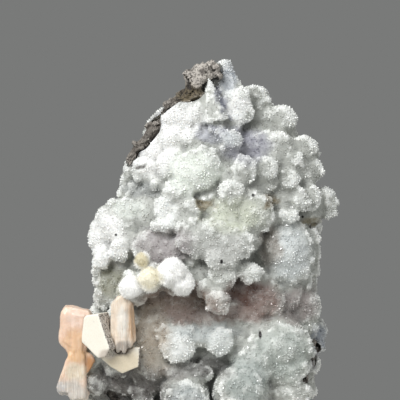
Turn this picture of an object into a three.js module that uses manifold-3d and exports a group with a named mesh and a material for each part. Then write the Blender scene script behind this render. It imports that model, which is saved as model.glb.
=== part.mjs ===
// Apophyllite cluster: a tall hand specimen of basalt, coated on its front and sides with knobbly
// druse of chalcedony and quartz. Puffs of white mordenite, a bow-tie and a blade of peach stilbite
// and a twinned apophyllite tablet sit low on its left.
// Millimetres, +Z up. The front faces -Y, so "out" in the lists below is the distance towards the
// viewer. The origin is on the flat base, under the middle of the front view.

import * as THREE from "three";
import { mergeVertices } from "three/addons/utils/BufferGeometryUtils.js";
import Module from "manifold-3d";

const wasm = await Module();
wasm.setup();

// Driving dimensions
const height = 120; // base to the tip of the crown
const gap = 0.3; // left between neighbouring pieces
const roughness = 0.08; // share of a knob's or lobe's size that its surface wanders
const frontFlat = 0.62; // below 1 a lobe's front is flatter and its sides are steeper
const fineRadius = 4.5; // knobs and lobes above this get more faces
const largeRadius = 7.0; // and above this more again
const druseFaces = 4340; // faces of the druse before the rock and the crystals are let into it
const farAway = 4 * height; // side of a block that cuts everything beyond a plane

// Large rounded masses that carry the lobes: x, z, out, then the half sizes across, up and deep
const masses = [
  [6, 102, -2, 8, 15, 6.5], // crown
  [-7.5, 93, -2, 10, 14, 8], // left shoulder
  [19, 91, -3, 12, 14, 9], // right shoulder
  [1, 71, -1, 28, 19, 11], // middle
  [-17, 61, -2, 13, 17, 8.5], // left side
  [22, 62, -2, 11, 22, 10], // right side
  [2, 36, 0, 28, 21, 10], // lower middle
  [-18, 30, -1, 13, 18, 7.5], // lower left
  [20, 32, -1, 12, 22, 11], // lower right
  [0, 8, 0, 27, 13, 13], // foot
  [-8.6, 97, 1, 6.4, 9, 6], // white slope below the rock
  [-1.4, 86.6, 5, 8.4, 7.4, 8], // white middle
  [-23.4, 70.4, 0, 8.6, 7.8, 8.4], // left dome
  [6.4, 67.4, 8, 12, 7, 9.4], // overhanging shelf
  [26.4, 62.8, 2, 8.2, 9.4, 9.6], // right block
  [3.4, 43.2, 5, 18, 5.2, 7], // stained ledge
  [-14.6, 34.2, 3, 6.6, 11, 7.4], // smooth brown slab
  [23.6, 34.6, 6, 9.6, 8.8, 11], // lower right block
  [12.6, 22.0, 9, 8.8, 8, 12], // lower middle block
  [-4.4, 20.4, 8, 7.2, 7.4, 12], // lower left block
];

// Lobes of the druse: x, z, out and half width, then half height and half depth where it isn't round
const crownLobes = [
  [8.4, 115.0, 0, 3.2, 4.5, 3.2], [7.2, 118.0, 0, 1.7], [10.2, 112.8, 0.5, 2.0],
  [1.5, 109.5, 4.5, 1.9, 4.8, 2.6],
  [5.1, 107.4, 2.5, 3.0, 4.8, 2.4], [11.4, 108.0, 5, 4.0, 3.9, 3.4], [10.8, 102.3, 6, 1.8, 2.6, 2.0],
  [13.8, 104.1, 5.5, 1.9, 2.2, 2.0], [17.4, 108.6, 1.5, 3.2, 3.3, 2.8], [14.4, 109.8, 3, 2.4],
  [4.8, 103.5, 7.5, 2.5], [4.5, 99.9, 8, 1.7], [7.8, 101.7, 6, 1.8],
];
const leftLobes = [
  [-5.4, 102.9, 4, 5.4, 5.1, 4.2], [0, 104.1, 6, 3.0], [-11.1, 103.8, 1, 2.4], [-14.4, 99.0, 0, 2.4],
  [-7.5, 96.0, 5.5, 3.8, 3.8, 3.2], [-13.5, 93.0, 3, 4.6, 3.8, 3.4], [-15.9, 95.1, 1, 2.6],
  [-15.0, 87.0, 3.5, 5.2, 3.8, 3.6], [-20.1, 87.0, 0, 2.6, 3.2, 2.8], [-21.6, 82.5, -1, 2.3],
  [-2.1, 96.0, 6.5, 3.4, 3.4, 2.8], [3.3, 96.9, 6.5, 2.5, 2.8, 2.2], [0, 87.9, 9, 6.2, 6.4, 4.6],
  [-8.4, 88.5, 7, 4.4, 4.9, 3.8], [-6.6, 81.0, 9.5, 4.8, 3.5, 4.0], [3.6, 80.4, 8, 3.0, 2.1, 2.6],
];
const rightLobes = [
  [9.2, 96.0, 9, 3.3, 3.0, 2.8], [12.9, 87.3, 12, 3.7, 4.3, 3.0], [9.3, 80.7, 14.5, 3.6, 4.0, 3.2],
  [19.5, 87.6, 10.5, 3.4, 3.9, 2.8], [26.4, 84.6, 8.5, 2.9, 3.1, 2.6], [33.3, 87.0, 2.5, 3.5, 3.3, 3.0],
  [30.9, 93.6, 3, 4.2, 3.7, 3.2], [33.6, 92.4, 1, 1.9], [23.6, 102.3, 1.5, 5.6, 4.3, 3.2],
  [22.5, 93.6, 5.5, 4.6, 5.0, 3.4], [27.3, 90.0, 6, 3.2, 2.6, 2.6], [15.6, 94.6, 3.2, 4.4, 4.6, 3.0],
];
const middleRightLobes = [
  [15.6, 74.7, 10.5, 6.4, 6.6, 4.4], [8.4, 74.4, 11, 4.4, 4.2, 3.6], [29.7, 78.3, 7, 2.4, 3.6, 2.8],
  [33.3, 78.9, 5, 2.6, 3.8, 3.0], [37.2, 76.8, 0, 4.0, 4.8, 3.4], [24.9, 73.5, 8, 4.4, 2.2, 2.6],
  [26.7, 62.7, 5.5, 7.6, 9.6, 4.6], [24.0, 66.0, 7, 5.0], [27.0, 58.5, 7, 5.8, 5.2, 4.0],
  [33.3, 67.2, 3, 2.4], [33.4, 62.7, 2.5, 2.3], [33.3, 57.6, 2, 2.6], [30.9, 54.6, 4.5, 2.6], [25.5, 54.0, 6, 3.0],
];
const shelfLobes = [
  [4.0, 66.6, 12.5, 11.4, 5.6, 5.0], [11.4, 66.0, 14.5, 4.2, 4.4, 3.4], [4.5, 69.6, 14, 5.4, 3.6, 3.6],
  [-3.0, 70.5, 12.5, 4.2, 3.2, 3.4], [6.6, 62.4, 14.5, 5.2, 4.4, 3.6], [6.6, 56.4, 13.5, 4.0, 4.4, 3.2],
  [14.7, 57.3, 12.5, 3.6, 3.0, 2.8], [5.4, 48.9, 15, 3.6, 3.7, 3.0], [1.5, 52.5, 13, 2.6],
];
const middleLeftLobes = [
  [-10.8, 75.6, 10.5, 2.8, 4.2, 3.0], [-10.2, 71.1, 11, 4.6, 2.0, 3.0], [-3.9, 75.0, 10.5, 4.2, 4.4, 3.4],
  [2.7, 76.5, 9, 3.0, 3.0, 2.6], [-18.0, 78.0, 1.5, 5.2, 3.8, 3.4], [-23.4, 73.8, 3.5, 6.8, 3.8, 4.6],
  [-28.4, 68.4, 2, 4.4, 5.0, 4.2], [-29.0, 62.4, 3.5, 3.0, 3.4, 3.0], [-23.7, 63.3, 6.5, 3.2],
  [-23.4, 68.4, 5.5, 3.8, 3.0, 3.4], [-10.5, 64.5, 7.5, 10.0, 5.6, 4.0], [-8.1, 63.6, 10, 4.2, 3.3, 2.6],
  [-15.9, 66.0, 8, 3.0], [-2.1, 63.0, 10, 3.0], [-26.4, 53.1, 1, 5.0, 6.0, 4.0], [-30.3, 56.4, 0, 1.8],
  [-29.6, 48.6, 1, 2.2, 3.2, 2.6], [-26.0, 55.5, 2.5, 2.8], [-27.6, 49.5, 2, 2.8],
];
const ledgeLobes = [
  [0, 45.9, 6, 20.0, 4.6, 6.0], [22.2, 48.0, 8, 2.4, 5.4, 3.0], [31.2, 46.5, 2.5, 4.8, 5.4, 4.0],
  [7.5, 40.5, 11, 9.0, 2.8, 4.0], [15.0, 48.6, 5, 6.0, 4.6, 3.0],
];
const lowerLobes = [
  [-7.2, 39.0, 12, 6.0, 2.8, 3.4], [-6.6, 34.2, 15, 5.1, 4.3, 3.6], [0.3, 34.8, 12.5, 2.0],
  [6.3, 35.4, 14.5, 3.9, 3.8, 3.2], [24.0, 35.7, 11, 9.2, 6.2, 5.0], [24.6, 28.8, 12, 7.2, 4.6, 4.4],
  [16.5, 35.4, 12.5, 3.4], [31.6, 33.6, 7.5, 2.6], [30.3, 28.2, 8, 2.4], [35.6, 38.1, -3, 2.4],
  [11.8, 24.0, 17, 6.4, 6.0, 5.0], [11.4, 18.6, 17.5, 6.0, 5.0, 5.0], [-3.8, 20.4, 16.5, 6.2, 5.4, 5.0],
  [27.0, 21.6, 11, 5.6, 3.8, 4.4], [-15.0, 33.0, 7.5, 5.2, 9.0, 5.0], [-3.0, 27.6, 11, 7.4, 3.2, 4.0],
  [-23.0, 24.0, 4, 4.4, 3.8, 4.0], [-29.0, 23.0, 1.5, 3.8], [-17.0, 21.5, 6, 4.2, 3.6, 3.8], [-31.0, 18.5, 0, 3.2],
];
// Lobes set back between the others
const backLobes = [
  [-13.0, 25.0, 5, 6.0, 4.0, 4.0], [-22.0, 28.0, 3, 5.0, 4.0, 4.0],
  [17.0, 103.0, -0.5, 5.0, 5.0, 4.0], [1.3, 100.5, 2.5, 4.4, 4.0, 3.0], [31.0, 74.5, 1, 5.4, 4.2, 3.6],
  [6.5, 94.6, 4, 4.6, 4.0, 3.0], [24.0, 87.0, 5, 6.0, 4.4, 3.0], [30.0, 86.4, 1.5, 5.0, 4.2, 3.2],
  [20.5, 69.0, 4, 4.6, 5.0, 3.0], [14.0, 81.6, 6, 5.6, 3.4, 3.4], [-17.0, 74.0, 3, 5.0, 3.4, 3.4],
  [0, 56.0, 8, 9.0, 5.0, 4.0], [22.0, 52.6, 3, 6.0, 4.0, 3.6], [18.0, 29.0, 9, 5.0, 4.6, 4.0],
];
const lobes = [
  ...crownLobes, ...leftLobes, ...rightLobes, ...middleRightLobes, ...shelfLobes, ...middleLeftLobes,
  ...ledgeLobes, ...lowerLobes, ...backLobes,
];

// Round knobs of the foot, of the sides and behind the crystals: x, z, out and radius
const footKnobs = [
  [-22.4, 12.4, 5.6, 4.8],
  [-17.0, 7.4, 8.6, 5.2],
  [-10.4, 12.4, 12.4, 4.8],
  [-6.0, 6.4, 13.6, 5.2],
  [2.6, 11.4, 15.0, 4.8],
  [6.0, 5.2, 14.4, 5.2],
  [10.4, 13.2, 15.0, 4.6],
  [15.6, 7.8, 12.6, 5.2],
  [21.4, 14.0, 10.6, 4.8],
  [24.6, 8.0, 6.4, 5.2],
  [-27.2, 12.0, -1, 4.8],
];
const sideKnobs = [
  [34.2, 70.4, -7, 3.8],
  [33.0, 62.6, -4, 4.2],
  [31.4, 55.0, -8, 4.4],
  [32.6, 51.6, -1, 4.0],
  [31.8, 45.0, -6, 4.2],
  [33.2, 37.6, -6, 4.4],
  [32.2, 40.4, 0, 3.8],
  [32.2, 29.4, -1, 4.4],
  [30.6, 21.0, -2, 4.4],
  [28.6, 25.0, -8, 5.6],
  [28.8, 13.8, 1, 4.6],
  [26.4, 13.0, -8, 5.6],
  [26.0, 5.0, -3, 5.0],
  [30.6, 87.6, -6, 3.8],
  [28.4, 93.6, -5, 3.8],
  [24.0, 98.6, -6, 4.0],
  [20.4, 103.4, -5, 3.4],
  [14.4, 107.0, -5, 3.6],
  [36.2, 38.2, -7, 2.4],
  [-28.0, 62.4, -7, 4.4],
  [-29.0, 58.6, -4, 3.2],
  [-25.0, 73.8, -7, 3.8],
  [-27.2, 48.6, -7, 4.4],
  [-29.4, 42.0, -3, 4.0],
  [-26.8, 35.0, -7, 4.8],
  [-29.8, 27.6, -3, 4.6],
  [-26.4, 22.0, -7, 4.8],
  [-28.8, 16.8, -3, 4.6],
  [-22.6, 8.0, -7, 4.8],
  [-24.4, 6.4, 0, 5.0],
];
const seatKnobs = [
  [-31.0, 37.4, 4.6, 4.4],
  [-32.4, 31.0, 5.2, 4.4],
  [-31.6, 24.6, 4.4, 4.4],
  [-24.5, 30.5, 7.0, 4.8],
  [-27.0, 36.8, 7.6, 4.8],
  [-22.4, 43.2, 7.2, 4.8],
  [-14.6, 55.0, 12.6, 4.6],
  [-7.4, 55.6, 14.4, 4.6],
  [-19.6, 52.6, 12.2, 4.6],
];
const knobs = [...footKnobs, ...sideKnobs, ...seatKnobs];

// Fracture faces of the basalt: the outward direction, and a point that the face goes through
const fractures = [
  { facing: [-0.85, -0.06, 0.52], through: [-15.0, 8, 95.0] }, // left slope
  { facing: [0.8, -0.1, 0.6], through: [19, 8, 97] }, // right slope
  { facing: [0.1, 0.2, 0.97], through: [1, 6, 117.2] }, // top
  { facing: [-1, 0, 0.05], through: [-27.0, 8, 56] }, // left side
  { facing: [1, 0.1, -0.03], through: [32.2, 6, 40] }, // right side
  { facing: [-0.84, 0.1, -0.54], through: [-27, 8, 20] }, // lower left
  { facing: [0.86, 0.1, -0.5], through: [32, 8, 24] }, // lower right
  { facing: [0, -1, 0.065], through: [0, 2, 110] }, // front, hidden under the druse
  { facing: [0.18, 0.98, 0.16], through: [6, 21, 60] }, // back, upper right
  { facing: [-0.42, 0.9, 0.12], through: [-14, 19, 62] }, // back, left
  { facing: [0.05, 0.97, -0.12], through: [0, 20, 34] }, // back, low
  { facing: [0.62, 0.78, -0.05], through: [26, 16, 46] }, // back, right edge
  { facing: [-0.1, 0.8, 0.6], through: [0, 15, 100] }, // back, below the crown
  { facing: [-0.75, 0.6, 0.28], through: [-24, 13, 74] }, // back, left edge
  { facing: [0.5, 0.7, 0.5], through: [19, 14, 92] }, // back, right slope
  { facing: [-0.6, 0.7, -0.4], through: [-22, 13, 22] }, // back, lower left edge
];

// Angular lumps left standing on the basalt: x, z, out and radius
const basaltLumps = [
  [2.6, 116.4, 0.4, 3.0],
  [-0.8, 115.6, 0.4, 3.2],
  [-3.4, 113.4, 0.2, 3.0],
  [-2.0, 110.2, 1.6, 3.4],
  [-5.0, 108.8, 0.8, 3.1],
  [-8.6, 105.4, -0.4, 2.8],
  [-12.6, 100.4, -1.0, 2.9],
  [-16.4, 94.8, -1.6, 2.8],
  [-19.8, 89.4, -2.2, 2.5],
  [-22.0, 84.2, -3.6, 2.2],
  [34.6, 33.4, -3.0, 3.2],
  [32.2, 27.4, -3.4, 3.4],
];

// Steps broken out of the back, and slabs left standing on it: middle, sides, then lean and turn
const brokenSteps = [
  { at: [12, 26, 76], size: [22, 12, 18], turned: [0.3, 0.5] },
  { at: [-22, 22, 50], size: [20, 14, 22], turned: [-0.25, -0.6] },
  { at: [24, 22, 30], size: [18, 12, 20], turned: [0.2, 0.9] },
  { at: [2, 25, 12], size: [24, 12, 14], turned: [-0.35, 0.2] },
  { at: [-8, 20, 96], size: [14, 10, 16], turned: [0.5, -0.4] },
];
const standingSlabs = [
  { at: [2, 17.4, 54], size: [18, 10, 22], turned: [0.22, 0.35] },
  { at: [-8, 16, 30], size: [20, 9, 16], turned: [-0.2, -0.3] },
  { at: [16, 13.4, 62], size: [12, 8, 20], turned: [0.1, -0.25] },
  { at: [4, 11.4, 92], size: [14, 8, 14], turned: [0.42, 0.2] },
];

// Puffs of mordenite needles: x, z, out and radius
const puffs = [
  [-8.2, 57.8, 19.4, 4.4],
  [-5.2, 54.8, 18.8, 3.7],
  [-14.6, 55.6, 17.2, 3.6],
  [-20.2, 53.4, 17.4, 3.5],
  [-17.0, 60.8, 14.6, 2.3],
];

// Crystals at the lower left
const bowTie = { waist: [-36.4, 31.8, 7.8], depth: 6.2, bevel: 0.5 };
const blade = { centre: [-22.9, 42.4, 13.8], length: 17.4 };
const tablet = { centre: [-30.3, 38.6, 13.8], thickness: 6.0, turned: -0.5 };
const tabletTwin = { centre: [-23.4, 31.6, 12.4], thickness: 4.6, turned: 0.12 };

// A shared three.js geometry as a solid for joining and cutting.
function toSolid(geometry) {
  const bare = geometry.clone();
  bare.deleteAttribute("normal");
  bare.deleteAttribute("uv");
  const merged = mergeVertices(bare, 1e-4);
  return new wasm.Manifold(new wasm.Mesh({
    numProp: 3,
    vertProperties: new Float32Array(merged.attributes.position.array),
    triVerts: new Uint32Array(merged.index.array),
  }));
}

// The solid back as a geometry, without splinters that a cut may have set free.
function toGeometry(solid) {
  const whole = solid.decompose().reduce((a, b) => (a.volume() > b.volume() ? a : b));
  const mesh = whole.getMesh();
  const geometry = new THREE.BufferGeometry();
  geometry.setAttribute("position", new THREE.BufferAttribute(mesh.vertProperties, 3));
  geometry.setIndex(new THREE.BufferAttribute(mesh.triVerts, 1));
  const faceted = geometry.toNonIndexed();
  faceted.computeVertexNormals();
  return faceted;
}

function join(solids) {
  return solids.reduce((a, b) => a.add(b));
}

// The squared distance to a face's plane, as the ten coefficients of a quadratic in x, y and z.
function planeError(a, b, c) {
  const normal = new THREE.Vector3().subVectors(b, a).cross(new THREE.Vector3().subVectors(c, a));
  const weight = normal.length() / 2;
  if (weight === 0) return new Float64Array(10);
  normal.normalize();
  const { x, y, z } = normal;
  const d = -normal.dot(a);
  return Float64Array.from([x * x, x * y, x * z, x * d, y * y, y * z, y * d, z * z, z * d, d * d],
    (term) => term * weight);
}

function errorAt(q, { x, y, z }) {
  return q[0] * x * x + q[4] * y * y + q[7] * z * z + q[9]
    + 2 * (q[1] * x * y + q[2] * x * z + q[3] * x + q[5] * y * z + q[6] * y + q[8] * z);
}

// The same solid with fewer faces: the edges that shape it least are merged first. It stays one
// closed body, because an edge is merged only where its two ends share exactly two neighbours.
function thinned(solid, faceCount) {
  const longEdge = 4; // merging an edge longer than this is put off
  const lengthCost = 0.002; // keeps the faces near one size where the surface is flat
  const smallestArea = 1e-3; // no face may get smaller
  const leastAgreement = 0.35; // cosine of the most that a face may turn in one merge
  const roundShare = 1 / 8; // share of the waiting edges that is tried before they are sorted again
  const mesh = solid.getMesh();
  const corners = Array.from({ length: mesh.numVert }, (_, i) =>
    new THREE.Vector3().fromArray(mesh.vertProperties, 3 * i));
  const faces = Array.from({ length: mesh.numTri }, (_, i) => [...mesh.triVerts.slice(3 * i, 3 * i + 3)]);
  const facesAt = corners.map(() => new Set());
  const errors = corners.map(() => new Float64Array(10));
  faces.forEach((face, index) => {
    const error = planeError(...face.map((i) => corners[i]));
    for (const i of face) {
      facesAt[i].add(index);
      error.forEach((term, k) => { errors[i][k] += term; });
    }
  });
  const changes = new Uint32Array(corners.length);
  const neighbours = (i) => new Set([...facesAt[i]].flatMap((f) => faces[f]).filter((j) => j !== i));

  function candidate(i, j) {
    const sum = errors[i].map((term, k) => term + errors[j][k]);
    const places = [corners[i], corners[j], corners[i].clone().lerp(corners[j], 0.5)];
    const costs = places.map((place) => errorAt(sum, place));
    const best = costs.indexOf(Math.min(...costs));
    const length = corners[i].distanceTo(corners[j]);
    return {
      i, j, sum, place: places[best].clone(), stamp: changes[i] + changes[j],
      cost: costs[best] + lengthCost * length * length + (length > longEdge ? length : 0),
    };
  }

  function staysUpright(i, other, place) {
    for (const f of facesAt[i]) {
      if (faces[f].includes(other)) continue;
      const before = faces[f].map((k) => corners[k]);
      const after = faces[f].map((k) => (k === i ? place : corners[k]));
      const was = new THREE.Triangle(...before);
      const is = new THREE.Triangle(...after);
      if (is.getArea() < smallestArea) return false;
      if (was.getArea() < smallestArea) continue;
      const agreement = was.getNormal(new THREE.Vector3()).dot(is.getNormal(new THREE.Vector3()));
      if (agreement < leastAgreement) return false;
    }
    return true;
  }

  let queue = [];
  for (const [a, b, c] of faces) {
    for (const [i, j] of [[a, b], [b, c], [c, a]]) {
      if (i < j) queue.push(candidate(i, j));
    }
  }
  let left = faces.length;
  while (left > faceCount && queue.length > 0) {
    queue.sort((a, b) => a.cost - b.cost);
    const round = queue.splice(0, Math.ceil(queue.length * roundShare));
    for (const { i, j, sum, place, stamp } of round) {
      if (left <= faceCount) break;
      if (stamp !== changes[i] + changes[j] || facesAt[i].size === 0 || facesAt[j].size === 0) continue;
      const nextToI = neighbours(i);
      const nextToJ = neighbours(j);
      const shared = [...nextToI].filter((k) => nextToJ.has(k));
      if (!nextToI.has(j) || shared.length !== 2) continue;
      if (!staysUpright(i, j, place) || !staysUpright(j, i, place)) continue;
      for (const f of facesAt[j]) {
        if (faces[f].includes(i)) {
          for (const k of faces[f]) if (k !== j) facesAt[k].delete(f);
          faces[f] = null;
          left -= 1;
        } else {
          faces[f] = faces[f].map((k) => (k === j ? i : k));
          facesAt[i].add(f);
        }
      }
      facesAt[j].clear();
      corners[i].copy(place);
      errors[i] = sum;
      changes[i] += 1;
      for (const k of neighbours(i)) {
        changes[k] += 1;
        for (const m of neighbours(k)) queue.push(candidate(Math.min(k, m), Math.max(k, m)));
      }
    }
    queue = queue.filter(({ i, j, stamp }) =>
      facesAt[i].size > 0 && facesAt[j].size > 0 && stamp === changes[i] + changes[j]);
  }
  return new wasm.Manifold(new wasm.Mesh({
    numProp: 3,
    vertProperties: new Float32Array(corners.flatMap((corner) => corner.toArray())),
    triVerts: new Uint32Array(faces.filter(Boolean).flat()),
  }));
}

// Smooth waves in space, between -1 and 1, that make round shapes irregular.
function wander(x, y, z) {
  const slow = Math.sin(0.61 * x + 1.9 * Math.sin(0.37 * z)) * Math.cos(0.53 * z + 1.4 * Math.sin(0.44 * y));
  const quick = Math.sin(1.7 * z + 0.8 * y) * Math.sin(1.45 * x - 0.9 * y);
  return 0.65 * slow + 0.35 * quick;
}

// An irregular rounded lump, grown by skin on every side. A higher detail gives it more faces, and a
// flat below 1 flattens its front and back.
function lump([x, z, out, across, up, deep], detail, rough, skin, flat = 1) {
  const geometry = new THREE.IcosahedronGeometry(1, detail);
  const position = geometry.attributes.position;
  const point = new THREE.Vector3();
  for (let i = 0; i < position.count; i += 1) {
    point.fromBufferAttribute(position, i);
    point.y = Math.sign(point.y) * Math.abs(point.y) ** flat;
    const at = [x + across * point.x, -out + deep * point.y, z + up * point.z];
    const swell = 1 + rough * wander(...at);
    position.setXYZ(
      i,
      x + (across * swell + skin) * point.x,
      -out + (deep * swell + skin) * point.y,
      z + (up * swell + skin) * point.z,
    );
  }
  return toSolid(geometry);
}

function lobe([x, z, out, across, up = across, deep = across]) {
  const detail = 1 + (across > fineRadius) + (across > largeRadius);
  return lump([x, z, out, across, up, deep], detail, roughness, 0, frontFlat);
}

function knob([x, z, out, radius]) {
  return lump([x, z, out, radius, radius, radius], 1 + (radius > fineRadius), roughness, 0);
}

// Everything on the far side of a plane, as one large block.
function beyond(facing, through) {
  const direction = new THREE.Vector3(...facing).normalize();
  const block = new THREE.BoxGeometry(farAway, farAway, farAway);
  block.applyQuaternion(new THREE.Quaternion().setFromUnitVectors(new THREE.Vector3(0, 0, 1), direction));
  const centre = new THREE.Vector3(...through).addScaledVector(direction, farAway / 2);
  block.translate(centre.x, centre.y, centre.z);
  return toSolid(block);
}

// A block grown by skin, leant towards the viewer, rolled to one side and turned about the upright.
function turnedBlock({ at, size, turned }, skin) {
  const [lean, turn] = turned;
  const block = new THREE.BoxGeometry(...size.map((side) => side + 2 * skin));
  block.rotateX(lean);
  block.rotateY(turn / 2);
  block.rotateZ(turn);
  block.translate(...at);
  return toSolid(block);
}

function aboveBase(solid) {
  return solid.subtract(beyond([0, 0, -1], [0, 0, 0]));
}

// The matrix rock, bounded by flat fracture faces, grown by skin where another piece is cut to fit it.
function basaltSolid(skin) {
  let rock = toSolid(new THREE.BoxGeometry(height, height, 2.5 * height));
  for (const { facing, through } of fractures) {
    const direction = new THREE.Vector3(...facing).normalize();
    const shifted = new THREE.Vector3(...through).addScaledVector(direction, skin);
    rock = rock.subtract(beyond(facing, shifted.toArray()));
  }
  const lumpRoughness = 0.24;
  const lumpRoot = 2.4; // how much deeper than wide a lump is
  const lumps = basaltLumps.map(([x, z, out, radius]) =>
    lump([x, z, out, radius, radius, radius + lumpRoot], 0, lumpRoughness, skin));
  const slabs = standingSlabs.map((slab) => turnedBlock(slab, skin));
  const steps = brokenSteps.map((step) => turnedBlock(step, -skin));
  return join([rock, ...lumps, ...slabs]).subtract(join(steps));
}

function puffSolid(skin) {
  const puffRoughness = 0.04;
  const finePuff = 3.4;
  return join(puffs.map(([x, z, out, radius]) =>
    lump([x, z, out, radius, radius, radius], radius > finePuff ? 2 : 1, puffRoughness, skin)));
}

// A flat-faced prism from an outline in the front view, centred on its own middle.
function prism(outline, thickness, skin, bevel) {
  const shape = new THREE.Shape(outline.map(([x, z]) => new THREE.Vector2(x, z)));
  const grown = bevel + skin;
  const geometry = new THREE.ExtrudeGeometry(shape, {
    depth: thickness - 2 * bevel,
    bevelEnabled: true,
    bevelThickness: grown,
    bevelSize: grown,
    bevelOffset: -bevel,
    bevelSegments: 1,
  });
  geometry.translate(0, 0, bevel - thickness / 2);
  geometry.rotateX(Math.PI / 2);
  return geometry;
}

// The outline of one stilbite blade: long straight sides and a blunt chisel at each end.
function bladeOutline(width, length, foot) {
  const chisel = 0.45 * width;
  const blunt = 0.18; // half the blunt end's share of the width
  return [
    [-foot / 2, -length / 2 + chisel], [-blunt * foot, -length / 2], [blunt * foot, -length / 2],
    [foot / 2, -length / 2 + chisel], [width / 2, length / 2 - chisel], [blunt * width, length / 2],
    [-blunt * width, length / 2], [-width / 2, length / 2 - chisel],
  ];
}

// A prism leant to one side, tilted towards the viewer, turned about the upright and then moved.
function placed(geometry, [x, z, out], turnUpright = 0, lean = 0, tilt = 0) {
  geometry.rotateY(lean);
  geometry.rotateX(tilt);
  geometry.rotateZ(turnUpright);
  geometry.translate(x, -out, z);
  return toSolid(geometry);
}

// The peach bow-tie: a blunt block above the waist and a fan of loose blades below it.
function bowTieSolid(skin) {
  const [x, z, out] = bowTie.waist;
  const block = [
    [-2.5, -1.2], [-2.6, 0.4], [-3.5, 2.2], [-5.4, 4.2], [-5.6, 6.2], [-5.0, 10.6],
    [-4.6, 13.8], [-3.6, 15.2], [-1.8, 15.1], [3.4, 13.9], [4.4, 12.6], [3.8, 6.0], [2.7, 1.6], [2.6, -1.2],
  ];
  const parts = [placed(prism(block, bowTie.depth, skin, bowTie.bevel), bowTie.waist)];
  const steps = [
    { outline: [[-4.6, 5], [-4.2, 13.0], [-3.2, 14.4], [-1.2, 14.2], [-1.4, 2.6]], thicker: 1.0 },
    { outline: [[-1.6, 1.6], [-1.4, 13.4], [2.4, 12.8], [1.9, 1.0]], thicker: 1.7 },
    { outline: [[1.6, 2.2], [3.8, 1.2], [5.4, -0.8], [4.2, -3.4], [2.7, -5.2], [2.0, -2.0]], thicker: -1.2 },
  ];
  for (const { outline, thicker } of steps) {
    parts.push(placed(prism(outline, bowTie.depth + thicker, skin, bowTie.bevel), bowTie.waist));
  }
  const fan = {
    blades: 4, leftLean: 0.28, rightLean: -0.02, leftRoot: -1.5, rightRoot: 1.2, rootHeight: 0.6,
    length: 16.6, shorterLeft: 0.16, shorterOdd: 0.06, shorterOuter: 0.06, hidden: 1.4,
    width: 3.3, rootWidth: 2.3, thickness: 2.6, bevel: 0.4, layerStep: 2.0, layerLean: 0.03, layerTilt: 0.08,
  };
  for (let layer = -1; layer <= 1; layer += 1) {
    for (let i = 0; i < fan.blades; i += 1) {
      const share = i / (fan.blades - 1);
      const lean = fan.leftLean + (fan.rightLean - fan.leftLean) * share + fan.layerLean * layer;
      const shorter = fan.shorterLeft * (1 - share) + fan.shorterOdd * (i % 2)
        + fan.shorterOuter * Math.abs(layer);
      const length = fan.length * (1 - shorter);
      const reach = length / 2 - fan.hidden;
      const root = fan.leftRoot + (fan.rightRoot - fan.leftRoot) * share;
      parts.push(placed(
        prism(bladeOutline(fan.rootWidth, length, fan.width), fan.thickness, skin, fan.bevel),
        [
          x + root - reach * Math.sin(lean),
          z + fan.rootHeight - reach * Math.cos(lean),
          out + fan.layerStep * layer,
        ],
        0,
        lean,
        fan.layerTilt * layer,
      ));
    }
  }
  return aboveBase(join(parts));
}

// The upright sheaf of stilbite blades, widest a third of the way down and drawn in at its foot.
function bladeSolid(skin) {
  const sheaf = [
    { across: -2.3, deep: 0.0, length: 0.72, width: 2.6, lean: 0.07, lift: 0.6 },
    { across: -0.9, deep: 1.0, length: 0.96, width: 2.8, lean: 0.03, lift: -0.1 },
    { across: 0.5, deep: 1.3, length: 1.0, width: 2.6, lean: -0.02, lift: 0.1 },
    { across: 1.8, deep: 0.6, length: 0.9, width: 2.7, lean: -0.08, lift: 0.5 },
    { across: 2.7, deep: -0.8, length: 0.74, width: 2.4, lean: -0.12, lift: 0.7 },
    { across: 0.0, deep: -1.6, length: 0.94, width: 4.6, lean: 0, lift: 0.2 },
    { across: 0.1, deep: 0.8, length: 0.92, width: 5.6, lean: 0, lift: 0.3 },
  ];
  const [x, z, out] = blade.centre;
  const thickness = 3.0;
  const footShare = 0.7;
  const bevel = 0.45;
  return join(sheaf.map(({ across, deep, length, width, lean, lift }) => placed(
    prism(bladeOutline(width, length * blade.length, footShare * width), thickness, skin, bevel),
    [x + across, z + lift, out + deep],
    0,
    lean,
  )));
}

// The pearly tablet and the second crystal that grows out of its foot, as one twin.
function tabletSolid(skin) {
  const crispEdge = 0.25;
  const face = [
    [-2.9, 5.4], [-2.2, 6.3], [2.2, 7.1], [4.7, 0.4], [6.2, -3.1], [4.5, -5.6], [2.0, -6.1], [-3.6, -1.6],
    [-3.6, -0.1],
  ];
  const twinFace = [
    [-5.8, 0.4], [-2.9, 3.3], [3.2, 3.9], [5.7, 3.6], [5.3, -2.0], [0.3, -4.0], [-3.0, -2.0],
  ];
  return join([
    placed(prism(face, tablet.thickness, skin, crispEdge), tablet.centre, tablet.turned),
    placed(prism(twinFace, tabletTwin.thickness, skin, crispEdge), tabletTwin.centre, tabletTwin.turned),
  ]);
}

// The druse that coats the rock, hollowed where the rock and the later crystals sit in it.
function druseSolid() {
  const massRoughness = 0.05;
  const grown = thinned(join([
    ...masses.map((mass) => lump(mass, 2, massRoughness, 0)),
    ...lobes.map(lobe),
    ...knobs.map(knob),
  ]), druseFaces);
  const seats = join([puffSolid(gap), bowTieSolid(gap), bladeSolid(gap), tabletSolid(gap)]);
  return aboveBase(grown).subtract(basaltSolid(gap)).subtract(seats);
}

// The twin as it stands between the blade and the bow-tie, which it has grown against.
function apophylliteSolid() {
  return tabletSolid(0).subtract(bladeSolid(gap)).subtract(bowTieSolid(gap));
}

function piece(name, solid, color, surface) {
  const mesh = new THREE.Mesh(toGeometry(solid), new THREE.MeshStandardMaterial({
    color,
    roughness: surface,
    metalness: 0,
  }));
  mesh.name = name;
  return mesh;
}

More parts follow.
